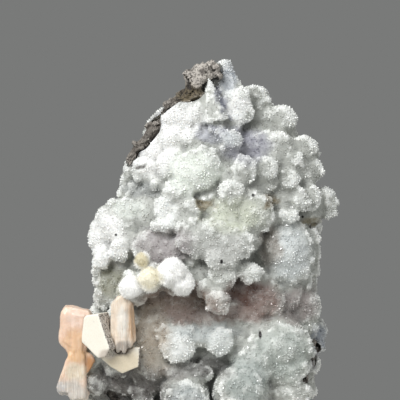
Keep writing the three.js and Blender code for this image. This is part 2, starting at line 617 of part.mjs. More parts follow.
const cluster = new THREE.Group();
cluster.add(
  piece("basalt_matrix", aboveBase(basaltSolid(0)), 0x6d6259, 0.9),
  piece("chalcedony_druse", druseSolid(), 0xc3c8c4, 0.5),
  piece("mordenite_puffs", puffSolid(0), 0xf4f3ee, 0.85),
  piece("stilbite_bow_tie", bowTieSolid(0), 0xe3b997, 0.4),
  piece("stilbite_blade", bladeSolid(0).subtract(puffSolid(gap)), 0xdcc9b2, 0.45),
  piece("apophyllite_twin", apophylliteSolid(), 0xefe7d2, 0.3),
);

export default cluster;
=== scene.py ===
import math
import random

import bmesh
import bpy
from mathutils import Euler, Matrix, Vector, noise


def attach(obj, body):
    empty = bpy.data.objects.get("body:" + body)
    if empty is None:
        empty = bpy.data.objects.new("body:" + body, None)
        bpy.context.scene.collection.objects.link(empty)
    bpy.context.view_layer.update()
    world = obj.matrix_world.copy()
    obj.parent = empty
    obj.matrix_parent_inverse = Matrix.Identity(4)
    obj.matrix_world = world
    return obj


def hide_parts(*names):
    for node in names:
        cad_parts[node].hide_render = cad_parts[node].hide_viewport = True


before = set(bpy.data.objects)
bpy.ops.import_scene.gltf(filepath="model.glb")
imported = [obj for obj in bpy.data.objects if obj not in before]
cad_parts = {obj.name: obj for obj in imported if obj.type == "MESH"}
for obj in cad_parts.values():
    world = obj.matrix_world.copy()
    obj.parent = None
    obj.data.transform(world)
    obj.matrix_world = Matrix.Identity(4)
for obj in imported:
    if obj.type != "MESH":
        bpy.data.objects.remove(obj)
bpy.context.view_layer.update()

print("frame loaded")

# Sizes and places are in millimetres: x to the right, z up from the base, and "out" towards the viewer.

mm = 0.001
smallBall, middleBall, largeBall = 2, 3, 4  # how often the faces of a ball are split
ballWaves = (4.2, 1.9)  # sizes of the waves that make a ball uneven
facingLimit = 0.7  # cosine from which a surface counts as facing one way
chipLean = 1.6  # how far the chips of broken rock lean
chipSeeds = (31, 17)  # factors that give every chip a lean and a height of its own
patchFade = (1.25, 0.55)  # where a patch of colour begins and is full, as shares of its half sizes


def place(x, z, out):
    return Vector((x, -out, z)) * mm


# Shared helpers for meshes

def addPiece(name, mesh, nodeName, material):
    piece = bpy.data.objects.new(name, mesh)
    bpy.context.collection.objects.link(piece)
    mesh.materials.clear()
    mesh.materials.append(material)
    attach(piece, "root")
    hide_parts(nodeName)
    return piece


def meshFrom(bm, name):
    mesh = bpy.data.meshes.new(name)
    bm.to_mesh(mesh)
    bm.free()
    return mesh


def cadCopy(nodeName):
    bm = bmesh.new()
    bm.from_mesh(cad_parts[nodeName].data)
    bmesh.ops.remove_doubles(bm, verts=bm.verts, dist=1e-6)
    return bm


def wave(at, sizes):
    # noise of two sizes, the second half as strong
    large, small = sizes
    return noise.noise(at / (large * mm)) + 0.5 * noise.noise(at / (small * mm))


def addBall(bm, centre, radii, detail, swell=0.0):
    matrix = Matrix.LocRotScale(centre, None, Vector(radii))
    made = bmesh.ops.create_icosphere(bm, subdivisions=detail, radius=1.0, matrix=matrix)
    for vert in made["verts"]:
        vert.co += (vert.co - centre) * swell * wave(vert.co, ballWaves)
    return made["verts"]


def applied(mesh, name, *steps):
    # runs modifiers on a loose object and gives back the finished mesh
    holder = bpy.data.objects.new(name, mesh)
    bpy.context.collection.objects.link(holder)
    for kind, values in steps:
        modifier = holder.modifiers.new(kind.lower(), kind)
        for key, value in values.items():
            setattr(modifier, key, value)
    graph = bpy.context.evaluated_depsgraph_get()
    finished = bpy.data.meshes.new_from_object(holder.evaluated_get(graph))
    finished.name = name
    bpy.data.objects.remove(holder)
    return finished


def remeshStep(size):
    return ("REMESH", {"mode": "VOXEL", "voxel_size": size * mm, "use_smooth_shade": True})


def smoothStep(times):
    return ("SMOOTH", {"factor": 0.5, "iterations": times})


def roughen(mesh, layers, keepFlatBelow=0.05):
    # moves each vertex along its normal by layers of noise, (size, height) in millimetres
    normals = [vert.normal.copy() for vert in mesh.vertices]
    for vert, normal in zip(mesh.vertices, normals):
        if vert.co.z < keepFlatBelow * mm:
            continue
        height = sum(tall * noise.noise(vert.co / (size * mm)) for size, tall in layers)
        vert.co += normal * height * mm
    mesh.update()


def addRelief(mesh, name, passes, reach):
    # how far each vertex stands out of a smoothed copy, from -1 in hollows to 1 on rims
    smoothed = applied(mesh, name + "Copy", smoothStep(passes))
    pairs = zip(mesh.vertices, smoothed.vertices)
    stands = [(vert.co - low.co).dot(vert.normal) / (reach * mm) for vert, low in pairs]
    attribute = mesh.attributes.new(name, "FLOAT", "POINT")
    attribute.data.foreach_set("value", [max(-1, min(1, stand)) for stand in stands])
    bpy.data.meshes.remove(smoothed)


def addFacing(mesh, name, direction):
    # 1 where the surface faces one way, for the material
    attribute = mesh.attributes.new(name, "FLOAT", "POINT")
    facing = [float(vert.normal.dot(direction) > facingLimit) for vert in mesh.vertices]
    attribute.data.foreach_set("value", facing)


def chipped(mesh, layers, keepFlatBelow):
    # breaks a surface into tilted flat chips, (size, height) in millimetres
    normals = [vert.normal.copy() for vert in mesh.vertices]
    for vert, normal in zip(mesh.vertices, normals):
        if vert.co.z < keepFlatBelow * mm:
            continue
        height = 0
        for size, tall in layers:
            at = vert.co / (size * mm)
            middle = noise.voronoi(at)[1][0]
            lean = noise.cell_vector(middle * chipSeeds[0]) - Vector((0.5, 0.5, 0.5))
            rise = noise.cell(middle * chipSeeds[1]) - 0.5
            height += tall * (rise + chipLean * lean.dot(at - middle))
        vert.co += normal * height * mm
    mesh.update()


# Shared helpers for materials

def fromScreen(red, green, blue):
    # a colour as it is seen on a screen, 0 to 255, as the linear colour that a shader takes
    def linear(level):
        level /= 255
        return level / 12.92 if level <= 0.04045 else ((level + 0.055) / 1.055) ** 2.4
    return (linear(red), linear(green), linear(blue), 1.0)


def newMaterial(name, settings):
    material = bpy.data.materials.new(name)
    material.use_nodes = True
    nodes, links = material.node_tree.nodes, material.node_tree.links
    shader = nodes["Principled BSDF"]
    for key, value in settings.items():
        shader.inputs[key].default_value = value
    coords = nodes.new("ShaderNodeTexCoord")
    return material, nodes, links, shader, coords.outputs["Object"]


def noiseNode(nodes, links, at, size, detail=3.0, rough=0.5):
    node = nodes.new("ShaderNodeTexNoise")
    node.inputs["Scale"].default_value = 1 / (size * mm)
    node.inputs["Detail"].default_value = detail
    node.inputs["Roughness"].default_value = rough
    links.new(at, node.inputs["Vector"])
    return node


def cellNode(nodes, links, at, size):
    node = nodes.new("ShaderNodeTexVoronoi")
    node.inputs["Scale"].default_value = 1 / (size * mm)
    links.new(at, node.inputs["Vector"])
    return node


def mapRange(nodes, links, value, low, high, toLow=0.0, toHigh=1.0):
    node = nodes.new("ShaderNodeMapRange")
    node.interpolation_type = "SMOOTHSTEP"
    for key, number in (("From Min", low), ("From Max", high), ("To Min", toLow), ("To Max", toHigh)):
        node.inputs[key].default_value = number
    links.new(value, node.inputs["Value"])
    return node.outputs["Result"]


def mathNode(nodes, links, operation, first, second):
    node = nodes.new("ShaderNodeMath")
    node.operation = operation
    for socket, value in zip(node.inputs, (first, second)):
        if isinstance(value, (int, float)):
            socket.default_value = value
        else:
            links.new(value, socket)
    return node.outputs[0]


def vectorNode(nodes, links, operation, first, second):
    node = nodes.new("ShaderNodeVectorMath")
    node.operation = operation
    for socket, value in zip(node.inputs, (first, second)):
        if isinstance(value, (tuple, Vector)):
            socket.default_value = value
        else:
            links.new(value, socket)
    return node


def mixColor(nodes, links, factor, first, second, blend="MIX"):
    node = nodes.new("ShaderNodeMix")
    node.data_type = "RGBA"
    node.blend_type = blend
    for socket, value in ((node.inputs[0], factor), (node.inputs[6], first), (node.inputs[7], second)):
        if isinstance(value, (int, float, tuple)):
            socket.default_value = value
        else:
            links.new(value, socket)
    return node.outputs[2]


def bumpNode(nodes, links, height, distance, strength, shader):
    node = nodes.new("ShaderNodeBump")
    node.inputs["Distance"].default_value = distance * mm
    node.inputs["Strength"].default_value = strength
    links.new(height, node.inputs["Height"])
    links.new(node.outputs["Normal"], shader.inputs["Normal"])


def relief(nodes, name):
    reader = nodes.new("ShaderNodeAttribute")
    reader.attribute_name = name
    return reader.outputs["Fac"]


def warped(nodes, links, at, size, reach):
    # the coordinates pushed about by noise, so that the edge of a patch wanders
    cloud = noiseNode(nodes, links, at, size, 2.0)
    centred = vectorNode(nodes, links, "SUBTRACT", cloud.outputs["Color"], (0.5, 0.5, 0.5))
    pushed = vectorNode(nodes, links, "SCALE", centred.outputs[0], (0, 0, 0))
    pushed.inputs["Scale"].default_value = reach * mm
    return vectorNode(nodes, links, "ADD", at, pushed.outputs[0]).outputs[0]


def patchMask(nodes, links, at, patch):
    # 1 in the middle of an ellipse in the front view, fading to 0 at its edge
    x, z, halfWide, halfTall = patch
    offset = vectorNode(nodes, links, "SUBTRACT", at, (x * mm, 0, z * mm))
    shares = (1 / (halfWide * mm), 0, 1 / (halfTall * mm))
    scaled = vectorNode(nodes, links, "MULTIPLY", offset.outputs[0], shares)
    reach = vectorNode(nodes, links, "LENGTH", scaled.outputs[0], (0, 0, 0))
    return mapRange(nodes, links, reach.outputs["Value"], *patchFade)


def patchTints(nodes, links, at, color, patches, strength=1):
    # soft patches of colour: red, green and blue as seen, then x, z, half width and half height
    for red, green, blue, *patch in patches:
        mask = patchMask(nodes, links, at, patch)
        if strength < 1:
            mask = mathNode(nodes, links, "MULTIPLY", mask, strength)
        color = mixColor(nodes, links, mask, color, fromScreen(red, green, blue))
    return color


def tint(nodes, links, color, value, row, blend="MIX", within=None):
    # a row says at what value a tint begins and is full, its strength and its colour as seen
    low, high, strength, seen = row
    mask = mapRange(nodes, links, value, low, high, 0.0, strength)
    if within is not None:
        mask = mathNode(nodes, links, "MULTIPLY", within, mask)
    return mixColor(nodes, links, mask, color, fromScreen(*seen), blend)


# Chalcedony and quartz druse: knobs grown into one crust, with small crystals all over it

druse = {
    "voxel": 0.65,  # size of the crust's faces
    "massSwell": 0.04,  # how uneven the masses under the lobes are
    "bumpsPerKnob": 14,  # small round lobes standing on each knob
    "bumpSize": (0.26, 0.56),  # their radius as a share of the knob's
    "bumpSink": 0.5,  # how deep they sit, as a share of their own radius
    "bumpsForward": 0.4,  # above 0 more of them stand on the front
    "swell": 0.3,  # how uneven the knobs are
    "frontFlat": 0.6,  # below 1 a lobe's front is flatter and its sides steeper
    "fineLobe": 7,  # half width and half height together from which a lobe has finer faces
    "lobeSwell": 0.14,  # how uneven the lobes are
    "lobeWaves": (5.0, 2.2),  # sizes of the waves that make them so
    "lobeDepth": 0.84,  # below 1 the lobes stand out less
    "roundDepth": 0.8,  # half depth of a lobe that has no depth of its own, as a share of its half width
    "rimBumps": 1.6,  # bumps round a lobe for each millimetre of its half width and half height
    "rimBumpSize": (0.55, 1.2),  # their radius
    "rimStray": 0.35,  # how far they stray from even steps
    "rimReach": (0.74, 0.98),  # their distance from the lobe's middle as a share of its half size
    "rimOut": (0.1, 0.6),  # how far forward they sit as a share of its half depth
    "shardSides": 6,
    "shardTurn": 0.4,  # turn of the pointed crystals about their length, in radians
    "rough": ((2.6, 0.26), (1.1, 0.18)),  # size and height of the crust's own roughness
    "rimRelief": (24, 0.42),  # smoothing passes, and the height that counts as a full rim
    "hollowRelief": (160, 1.9),
    "grainSides": 5,
    "grainSpacing": 0.6,  # least distance between the crystals
    "grainWide": 0.86,
    "grainTall": 0.6,
    "grainTilt": 0.5,  # radians that a crystal may lean
    "faceShare": 0.4,  # how many of the crystals stay on flat faces and in hollows, away from the rims
    "seed": 11,
    "skin": (0.4, 0.34, 0.85),  # roughness, height of the fine bumps and scattering of the crust
    "crystal": (0.13, 0, 0),  # the same for the crystals on it
    "scatterDepth": 3.0,
    "color": (179, 181, 175),
    "tintWander": (4.5, 5.0),  # size and reach of the waves in the edge of a patch
    "tintStrength": 0.88,
    "firstRimHighlight": (0.05, 0.6, 0.85, (241, 243, 239)),  # painted highlight on the raised rims of the lobes, under the patches
    # painted shade: darker in the deep hollows between the lobes, where shade falls
    "hollow": (-0.08, -0.8, 0.62, (128, 128, 127)),
    "lastRimHighlight": (0.1, 0.8, 0.4, (241, 243, 239)),  # painted highlight on the raised rims again, over the patches
    "cloudNoise": (3.2, 3.0),  # size and detail
    "cloud": (0.42, 0.7, 0.16, (236, 238, 234)),
    "sugarNoise": (0.55, 3.0, 0.75),  # size, detail and roughness
    "sugarShade": (0.52, 0.34, 0.22, (128, 130, 130)),
    "sugarGlint": (0.6, 0.7, 0.36, (250, 250, 250)),
    "speck": (34, 31, 30),
    "bumpStrength": 0.7,
}

# rounded masses under the lobes: x, z, out, then half sizes across, up and deep
masses = [
    (6, 102, -2, 8, 15, 6.5), (-7.5, 93, -2, 10, 14, 8), (19, 91, -3, 12, 14, 9),
    (1, 71, -1, 28, 19, 11), (-17, 61, -2, 13, 17, 8.5), (22, 62, -2, 11, 22, 10),
    (2, 36, 0, 28, 21, 10), (-18, 30, -1, 13, 18, 7.5), (20, 32, 1, 12, 22, 9), (0, 8, 0, 27, 13, 13),
    (-8.6, 97, 1, 6.4, 9, 6), (-1.4, 86.6, 5, 8.4, 7.4, 8), (-23.4, 70.4, 0, 8.6, 7.8, 8.4),
    (6.4, 67.4, 8, 12, 7, 9.4), (26.4, 62.8, 2, 8.2, 9.4, 9.6), (3.4, 43.2, 5, 18, 5.2, 7),
    (-14.6, 34.2, 3, 6.6, 11, 7.4), (23.6, 34.6, 6, 9.6, 8.8, 11), (12.6, 22.0, 9, 8.8, 8, 12),
    (-4.4, 20.4, 8, 7.2, 7.4, 12),
    (29.4, 30, -4, 4.6, 20, 8), (29.6, 62, -4, 4.6, 16, 7), (-27.2, 30, -4, 4.2, 20, 8),
    (-27.4, 58, -4, 3.8, 14, 7),
]

# lobes of the crust: x, z, out and half width, then half height and half depth where it isn't round
crownLobes = [
    (9.6, 112.6, 0.5, 2.2), (5.1, 106.8, 2.5, 3.0, 4.4, 2.4), (11.4, 108.0, 5, 4.0, 3.9, 3.4),
    (10.8, 102.3, 6, 1.8, 2.6, 2.0), (13.8, 104.1, 5.5, 1.9, 2.2, 2.0), (17.4, 108.6, 1.5, 3.2, 3.3, 2.8),
    (14.4, 109.8, 3, 2.4), (4.8, 103.5, 7.5, 2.5), (4.5, 99.9, 8, 1.7), (7.8, 101.7, 6, 1.8),
]
leftLobes = [
    (-5.4, 102.9, 4, 5.4, 5.1, 4.2), (0, 104.1, 6, 3.0),
    (-7.5, 96.0, 5.5, 3.8, 3.8, 3.2), (-13.5, 93.0, 3, 4.6, 3.8, 3.4), (-15.9, 95.1, 1, 2.6),
    (-15.0, 87.0, 3.5, 5.2, 3.8, 3.6), (-20.1, 87.0, 0, 2.6, 3.2, 2.8), (-21.6, 82.5, -1, 2.3),
    (-2.1, 96.0, 6.5, 3.4, 3.4, 2.8), (3.3, 96.9, 6.5, 2.5, 2.8, 2.2), (0, 87.9, 9, 6.2, 6.4, 4.6),
    (-8.4, 88.5, 7, 4.4, 4.9, 3.8), (-6.6, 81.0, 9.5, 4.8, 3.5, 4.0), (3.6, 80.4, 8, 3.0, 2.1, 2.6),
]
rightLobes = [
    (9.2, 96.0, 8, 3.3, 3.0, 2.8), (12.9, 87.3, 10.4, 3.9, 4.3, 3.0), (9.3, 80.7, 12.4, 3.6, 4.0, 3.2),
    (19.5, 87.6, 9, 3.6, 3.9, 2.8), (26.4, 84.6, 7.4, 3.2, 3.1, 2.6), (33.3, 87.0, 2.5, 3.5, 3.3, 3.0),
    (30.9, 93.6, 3, 4.2, 3.7, 3.2), (33.6, 92.4, 1, 1.9), (23.6, 102.3, 1.5, 5.6, 4.3, 3.2),
    (22.5, 93.6, 5.5, 4.6, 5.0, 3.4), (27.3, 90.0, 6, 3.2, 2.6, 2.6), (15.6, 94.6, 3.2, 4.4, 4.6, 3.0),
]
middleRightLobes = [
    (15.6, 74.7, 10.5, 6.4, 6.6, 4.4), (8.4, 74.4, 11, 4.4, 4.2, 3.6), (29.7, 78.3, 7, 2.4, 3.6, 2.8),
    (33.3, 78.9, 5, 2.6, 3.8, 3.0), (37.2, 76.8, 0, 4.0, 4.8, 3.4), (24.9, 73.5, 8, 4.4, 2.2, 2.6),
    (26.7, 62.7, 5.5, 7.6, 9.6, 4.6), (24.0, 66.0, 7, 5.0), (27.0, 58.5, 7, 5.8, 5.2, 4.0),
    (33.3, 67.2, 3, 2.4), (33.4, 62.7, 2.5, 2.3), (33.3, 57.6, 2, 2.6), (30.9, 54.6, 4.5, 2.6),
    (25.5, 54.0, 6, 3.0),
]
shelfLobes = [
    (4.0, 66.6, 12.5, 11.4, 5.6, 5.0), (11.4, 66.0, 14.5, 4.2, 4.4, 3.4), (4.5, 69.6, 14, 5.4, 3.6, 3.6),
    (-3.0, 70.5, 12.5, 4.2, 3.2, 3.4), (6.6, 62.4, 14.5, 5.2, 4.4, 3.6), (6.6, 56.4, 13.5, 4.0, 4.4, 3.2),
    (14.7, 57.3, 12.5, 3.6, 3.0, 2.8), (5.4, 48.9, 15, 3.6, 3.7, 3.0), (1.5, 52.5, 13, 2.6),
]
middleLeftLobes = [
    (-10.8, 75.6, 10.5, 2.8, 4.2, 3.0), (-10.2, 71.1, 11, 4.6, 2.0, 3.0), (-3.9, 75.0, 10.5, 4.2, 4.4, 3.4),
    (2.7, 76.5, 9, 3.0, 3.0, 2.6), (-18.0, 78.0, 1.5, 5.2, 3.8, 3.4), (-23.4, 73.8, 3.5, 6.8, 3.8, 4.6),
    (-28.4, 68.4, 2, 4.4, 5.0, 4.2), (-29.0, 62.4, 3.5, 3.0, 3.4, 3.0), (-23.7, 63.3, 6.5, 3.2),
    (-23.4, 68.4, 5.5, 3.8, 3.0, 3.4), (-10.5, 64.5, 7.5, 10.0, 5.6, 4.0), (-8.1, 63.6, 10, 4.2, 3.3, 2.6),
    (-15.9, 66.0, 8, 3.0), (-2.1, 63.0, 10, 3.0), (-26.4, 53.1, 1, 5.0, 6.0, 4.0), (-30.3, 56.4, 0, 1.8),
    (-29.6, 48.6, 1, 2.2, 3.2, 2.6), (-26.0, 55.5, 2.5, 2.8), (-27.6, 49.5, 2, 2.8),
    (-31.0, 66.0, 3.4, 2.4), (-24.0, 63.4, 7.6, 2.6), (-29.4, 60.4, 5.2, 2.4), (-22.0, 67.0, 7.2, 2.2),
    (-27.0, 71.0, 6.0, 2.4), (-21.6, 76.2, 5.0, 6.2, 2.6, 2.6), (-15.0, 81.2, 5.0, 2.0),
    (-19.8, 81.0, 3.0, 2.2), (-12.4, 83.2, 6.6, 1.8), (-22.4, 80.0, 1.6, 1.9),
]
ledgeLobes = [
    (22.4, 48.0, 7, 2.4, 5.4, 3.0), (31.2, 46.5, 2.5, 4.8, 5.4, 4.0), (5.0, 40.8, 9.2, 10.0, 2.4, 3.2),
]
lowerLobes = [
    (-7.4, 39.4, 11.4, 6.2, 3.2, 3.2), (-6.6, 35.4, 12.8, 5.2, 4.5, 3.6), (0.3, 37.6, 10.8, 3.4, 2.6, 2.8),
    (6.0, 36.8, 12, 3.7, 4.2, 3.0), (24.0, 35.7, 11, 9.2, 6.2, 5.0), (24.6, 28.8, 12, 7.2, 4.6, 4.4),
    (16.5, 35.4, 12.5, 3.4), (31.6, 33.6, 7.5, 2.6), (30.3, 28.2, 8, 2.4), (35.6, 38.1, -3, 2.4),
    (11.8, 24.0, 17, 6.4, 6.0, 5.0), (11.4, 18.6, 17.5, 6.0, 5.0, 5.0), (-3.8, 20.4, 16.5, 6.2, 5.4, 5.0),
    (27.0, 21.6, 11, 5.6, 3.8, 4.4), (15.6, 29.6, 14, 5.6, 6.4, 4.4), (-3.0, 27.0, 10, 7.4, 3.6, 3.6),
    (-23.0, 24.0, 4, 4.4, 3.8, 4.0), (-29.0, 23.0, 1.5, 3.8), (-17.0, 21.5, 6, 4.2, 3.6, 3.8),
    (-31.0, 18.5, 0, 3.2),
]
# lobes set back between the others
backLobes = [
    (16.0, 83.6, 7.4, 7.0, 4.4, 3.0), (7.4, 91.6, 6.4, 4.2, 4.0, 3.0), (-16.0, 27.0, 7, 5.0, 3.6, 3.4),
    (-13.0, 25.0, 5, 6.0, 4.0, 4.0), (-22.0, 28.0, 3, 5.0, 4.0, 4.0),
    (17.0, 103.0, -0.5, 5.0, 5.0, 4.0), (1.3, 100.5, 2.5, 4.4, 4.0, 3.0), (31.0, 74.5, 1, 5.4, 4.2, 3.6),
    (6.5, 94.6, 4, 4.6, 4.0, 3.0), (24.0, 87.0, 5, 6.0, 4.4, 3.0), (30.0, 86.4, 1.5, 5.0, 4.2, 3.2),
    (20.5, 69.0, 4, 4.6, 5.0, 3.0), (14.0, 81.6, 6, 5.6, 3.4, 3.4), (-17.0, 74.0, 3, 5.0, 3.4, 3.4),
    (0, 56.0, 8, 9.0, 5.0, 4.0), (22.0, 52.6, 3, 6.0, 4.0, 3.6), (18.0, 29.0, 9, 5.0, 4.6, 4.0),
]
# broad quiet faces without bumps: the ledge, the hollows, the slab on the left and ground between lobes
smoothLobes = [
    (0, 46.0, 6.4, 21.0, 6.2, 6.0), (14.0, 51.0, 7.4, 10.0, 6.8, 4.0), (-8.0, 48.0, 7.6, 9.0, 4.6, 4.4),
    (-14.6, 35.0, 7.8, 6.6, 11.0, 4.8), (-11.0, 41.6, 8.2, 7.0, 5.0, 4.4), (2.0, 29.6, 5.4, 12.0, 8.0, 4.4),
    (-10.5, 64.8, 8.0, 10.0, 6.0, 4.0), (20.0, 91.0, 4.6, 10.0, 8.0, 3.4),
    (24.4, 79.6, 5.2, 5.6, 5.0, 3.2), (8.0, 86.0, 8.0, 3.6, 3.6, 3.0), (-0.6, 77.6, 7.4, 4.6, 3.0, 3.0),
    (-11.0, 67.8, 7.8, 4.6, 2.8, 3.0), (21.0, 65.0, 5.4, 4.6, 8.6, 3.2), (12.6, 33.6, 9.6, 4.6, 6.6, 3.6),
    (14.6, 39.6, 8.6, 5.6, 4.4, 3.4), (28.6, 85.4, 3.4, 6.0, 6.0, 3.4), (25.6, 51.0, 4.6, 5.0, 6.0, 3.4),
    (0.8, 105.4, 3.2, 3.6, 4.6, 3.0), (2.0, 100.4, 4.6, 4.0, 3.2, 3.0), (8.8, 99.6, 4.6, 3.6, 3.4, 3.0),
]
# pointed crystals: x, z, out, half width at the foot, height, lean, and the tip's share of the foot
shards = [
    (8.5, 114.8, 0.4, 2.9, 10.4, -0.3, 0.72), (6.6, 114.6, -0.6, 2.0, 9.0, -0.1, 0.5),
    (3.6, 108.2, 5.8, 5.6, 13.0, -0.17, 0.02), (36.0, 36.6, -1.6, 2.4, 9.0, 0.1, 0.4),
    (7.4, 104.6, 4.0, 2.0, 8.0, -0.55, 0.4), (13.2, 106.8, 3.4, 2.6, 6.0, 0.5, 0.5),
]
lobes = (crownLobes + leftLobes + rightLobes + middleRightLobes + shelfLobes + middleLeftLobes
         + ledgeLobes + lowerLobes + backLobes)

# round knobs of the foot, of the sides and behind the crystals: x, z, out and radius
footKnobs = [
    (-22.4, 12.4, 5.6, 4.8), (-17.0, 7.4, 8.6, 5.2), (-10.4, 12.4, 12.4, 4.8), (-6.0, 6.4, 13.6, 5.2),
    (2.6, 11.4, 15.0, 4.8), (6.0, 5.2, 14.4, 5.2), (10.4, 13.2, 15.0, 4.6), (15.6, 7.8, 12.6, 5.2),
    (21.4, 14.0, 10.6, 4.8), (24.6, 8.0, 6.4, 5.2), (-27.2, 12.0, -1, 4.8),
]
sideKnobs = [
    (33.0, 70.4, -7, 3.8), (31.4, 62.6, -4, 4.2), (30.6, 55.0, -8, 4.4), (31.2, 51.6, -1, 4.0),
    (31.8, 45.0, -6, 4.2), (33.2, 37.6, -6, 4.4), (32.2, 40.4, 0, 3.8), (32.2, 29.4, -1, 4.4),
    (30.6, 21.0, -2, 4.4), (28.6, 25.0, -8, 5.6), (28.8, 13.8, 1, 4.6), (26.4, 13.0, -8, 5.6),
    (26.0, 5.0, -3, 5.0), (30.6, 87.6, -6, 3.8), (28.4, 93.6, -5, 3.8), (24.0, 98.6, -6, 4.0),
    (20.4, 103.4, -5, 3.4), (14.4, 107.0, -5, 3.6), (36.2, 38.2, -7, 2.4), (-28.0, 62.4, -7, 4.4),
    (-29.0, 58.6, -4, 3.2), (-25.0, 73.8, -7, 3.8), (-27.2, 48.6, -7, 4.4), (-29.4, 42.0, -3, 4.0),
    (-26.8, 35.0, -7, 4.8), (-29.8, 27.6, -3, 4.6), (-26.4, 22.0, -7, 4.8), (-28.8, 16.8, -3, 4.6),
    (-22.6, 8.0, -7, 4.8), (-24.4, 6.4, 0, 5.0),
    (31.4, 66.6, -8, 3.8), (31.8, 58.6, -8.6, 4.0), (31.0, 50.4, -6.6, 3.8), (31.6, 33.6, -2.4, 4.0),
    (30.4, 25.4, -4, 4.2), (28.2, 9.4, -6, 4.6), (26.6, 90.6, -8.6, 3.8), (22.0, 96.4, -8.2, 3.8),
    (17.4, 101.4, -7.4, 3.4), (28.6, 19.0, -9, 4.4), (-28.0, 54.0, -5, 4.0), (-27.6, 45.4, -4, 4.0),
    (-28.2, 38.6, -7, 4.2), (-27.4, 31.4, -6, 4.4), (-27.4, 25.4, -8, 4.2), (-25.6, 14.4, -7, 4.6),
    (-19.6, 4.6, -8, 4.4), (21.0, 4.4, -8.6, 4.6), (23.6, 10.0, -10, 4.2), (-21.4, 11.0, -10, 4.0),
]
seatKnobs = [
    (-31.0, 37.4, 4.6, 4.4), (-32.4, 31.0, 5.2, 4.4), (-31.6, 24.6, 4.4, 4.4),
    (-24.5, 30.5, 7.0, 4.8), (-27.0, 36.8, 7.6, 4.8), (-22.4, 43.2, 7.2, 4.8), (-14.6, 55.0, 12.6, 4.6),
    (-7.4, 55.6, 14.4, 4.6), (-19.6, 52.6, 12.2, 4.6),
]


def lobe(rng, x, z, out, across, up=None, deep=None, bumpShare=1):
    # a pillow with a flat front and small bumps round its rim, in a mesh of its own
    up = up or across
    deep = druse["lobeDepth"] * (deep or druse["roundDepth"] * across)
    bm = bmesh.new()
    centre = place(x, z, out)
    detail = largeBall if across + up > druse["fineLobe"] else middleBall
    for vert in addBall(bm, Vector((0, 0, 0)), (1, 1, 1), detail):
        vert.co.y = math.copysign(abs(vert.co.y) ** druse["frontFlat"], vert.co.y)
        vert.co = centre + Vector((vert.co.x * across, vert.co.y * deep, vert.co.z * up)) * mm
        vert.co += (vert.co - centre) * druse["lobeSwell"] * wave(vert.co, druse["lobeWaves"])
    stray = druse["rimStray"]
    bumps = round(druse["rimBumps"] * bumpShare * (across + up))
    for step in range(bumps):
        turn = math.tau * (step + rng.uniform(-stray, stray)) / bumps
        small = rng.uniform(*druse["rimBumpSize"]) * mm
        reach = rng.uniform(*druse["rimReach"])
        forward = deep * rng.uniform(*druse["rimOut"])
        aside = Vector((math.cos(turn) * across * reach, -forward, math.sin(turn) * up * reach))
        addBall(bm, centre + aside * mm, (small, small, small), smallBall, druse["swell"])
    return meshFrom(bm, "lobe")


def shard(x, z, out, foot, tall, lean, tipShare):
    # a blunt pointed crystal, in a mesh of its own
    bm = bmesh.new()
    leaning = Matrix.Translation(place(x, z, out)) @ Matrix.Rotation(lean, 4, "Y")
    turned = leaning @ Matrix.Rotation(druse["shardTurn"], 4, "Z")
    bmesh.ops.create_cone(bm, cap_ends=True, segments=druse["shardSides"], radius1=foot * mm,
                          radius2=foot * tipShare * mm, depth=tall * mm, matrix=turned)
    return meshFrom(bm, "shard")


def knobCluster(rng, x, z, out, radius):
    # one knob with its small lobes, in a mesh of its own
    bm = bmesh.new()
    centre = place(x, z, out)
    size = radius * mm
    addBall(bm, centre, (size, size, size), middleBall, druse["swell"])
    for _ in range(druse["bumpsPerKnob"]):
        away = Vector((rng.gauss(0, 1), rng.gauss(-druse["bumpsForward"], 1), rng.gauss(0, 1))).normalized()
        small = size * rng.uniform(*druse["bumpSize"])
        reach = size - druse["bumpSink"] * small
        addBall(bm, centre + away * reach, (small, small, small), smallBall, druse["swell"])
    return meshFrom(bm, "knobCluster")


def massBall(x, z, out, wide, tall, deep):
    bm = bmesh.new()
    radii = (wide * mm, deep * mm, tall * mm)
    addBall(bm, place(x, z, out), radii, largeBall, druse["massSwell"])
    return meshFrom(bm, "massBall")


def joinedMesh(name, meshes):
    bm = bmesh.new()
    for mesh in meshes:
        bm.from_mesh(mesh)
        bpy.data.meshes.remove(mesh)
    return meshFrom(bm, name)


def cutterFrom(name, mesh):
    cutter = bpy.data.objects.new(name, mesh)
    bpy.context.collection.objects.link(cutter)
    return cutter


def floorBlock():
    bm = bmesh.new()
    side = 400 * mm
    bmesh.ops.create_cube(bm, size=side, matrix=Matrix.Translation((0, 0, -side / 2)))
    return meshFrom(bm, "floorBlock")


def druseCrust(rockCutter):
    rng = random.Random(druse["seed"])
    lumps = [massBall(*mass) for mass in masses]
    lumps += [lobe(rng, *row) for row in lobes]
    lumps += [lobe(rng, *row, bumpShare=0) for row in smoothLobes]
    lumps += [shard(*row) for row in shards]
    lumps += [knobCluster(rng, *row) for row in footKnobs + sideKnobs + seatKnobs]
    joined = joinedMesh("druseLumps", lumps)
    mesh = applied(joined, "druseCrust", remeshStep(druse["voxel"]), smoothStep(1))
    roughen(mesh, druse["rough"])
    floorCutter = cutterFrom("floorCutter", floorBlock())
    cuts = [("BOOLEAN", {"operation": "DIFFERENCE", "solver": "MANIFOLD", "object": cutter})
            for cutter in (rockCutter, floorCutter)]
    mesh = applied(mesh, "druseCrust", *cuts)
    bpy.data.objects.remove(floorCutter)
    addRelief(mesh, "rim", *druse["rimRelief"])
    # this relief steers the painted shade in the hollows of the druse's colour
    addRelief(mesh, "hollow", *druse["hollowRelief"])
    return mesh


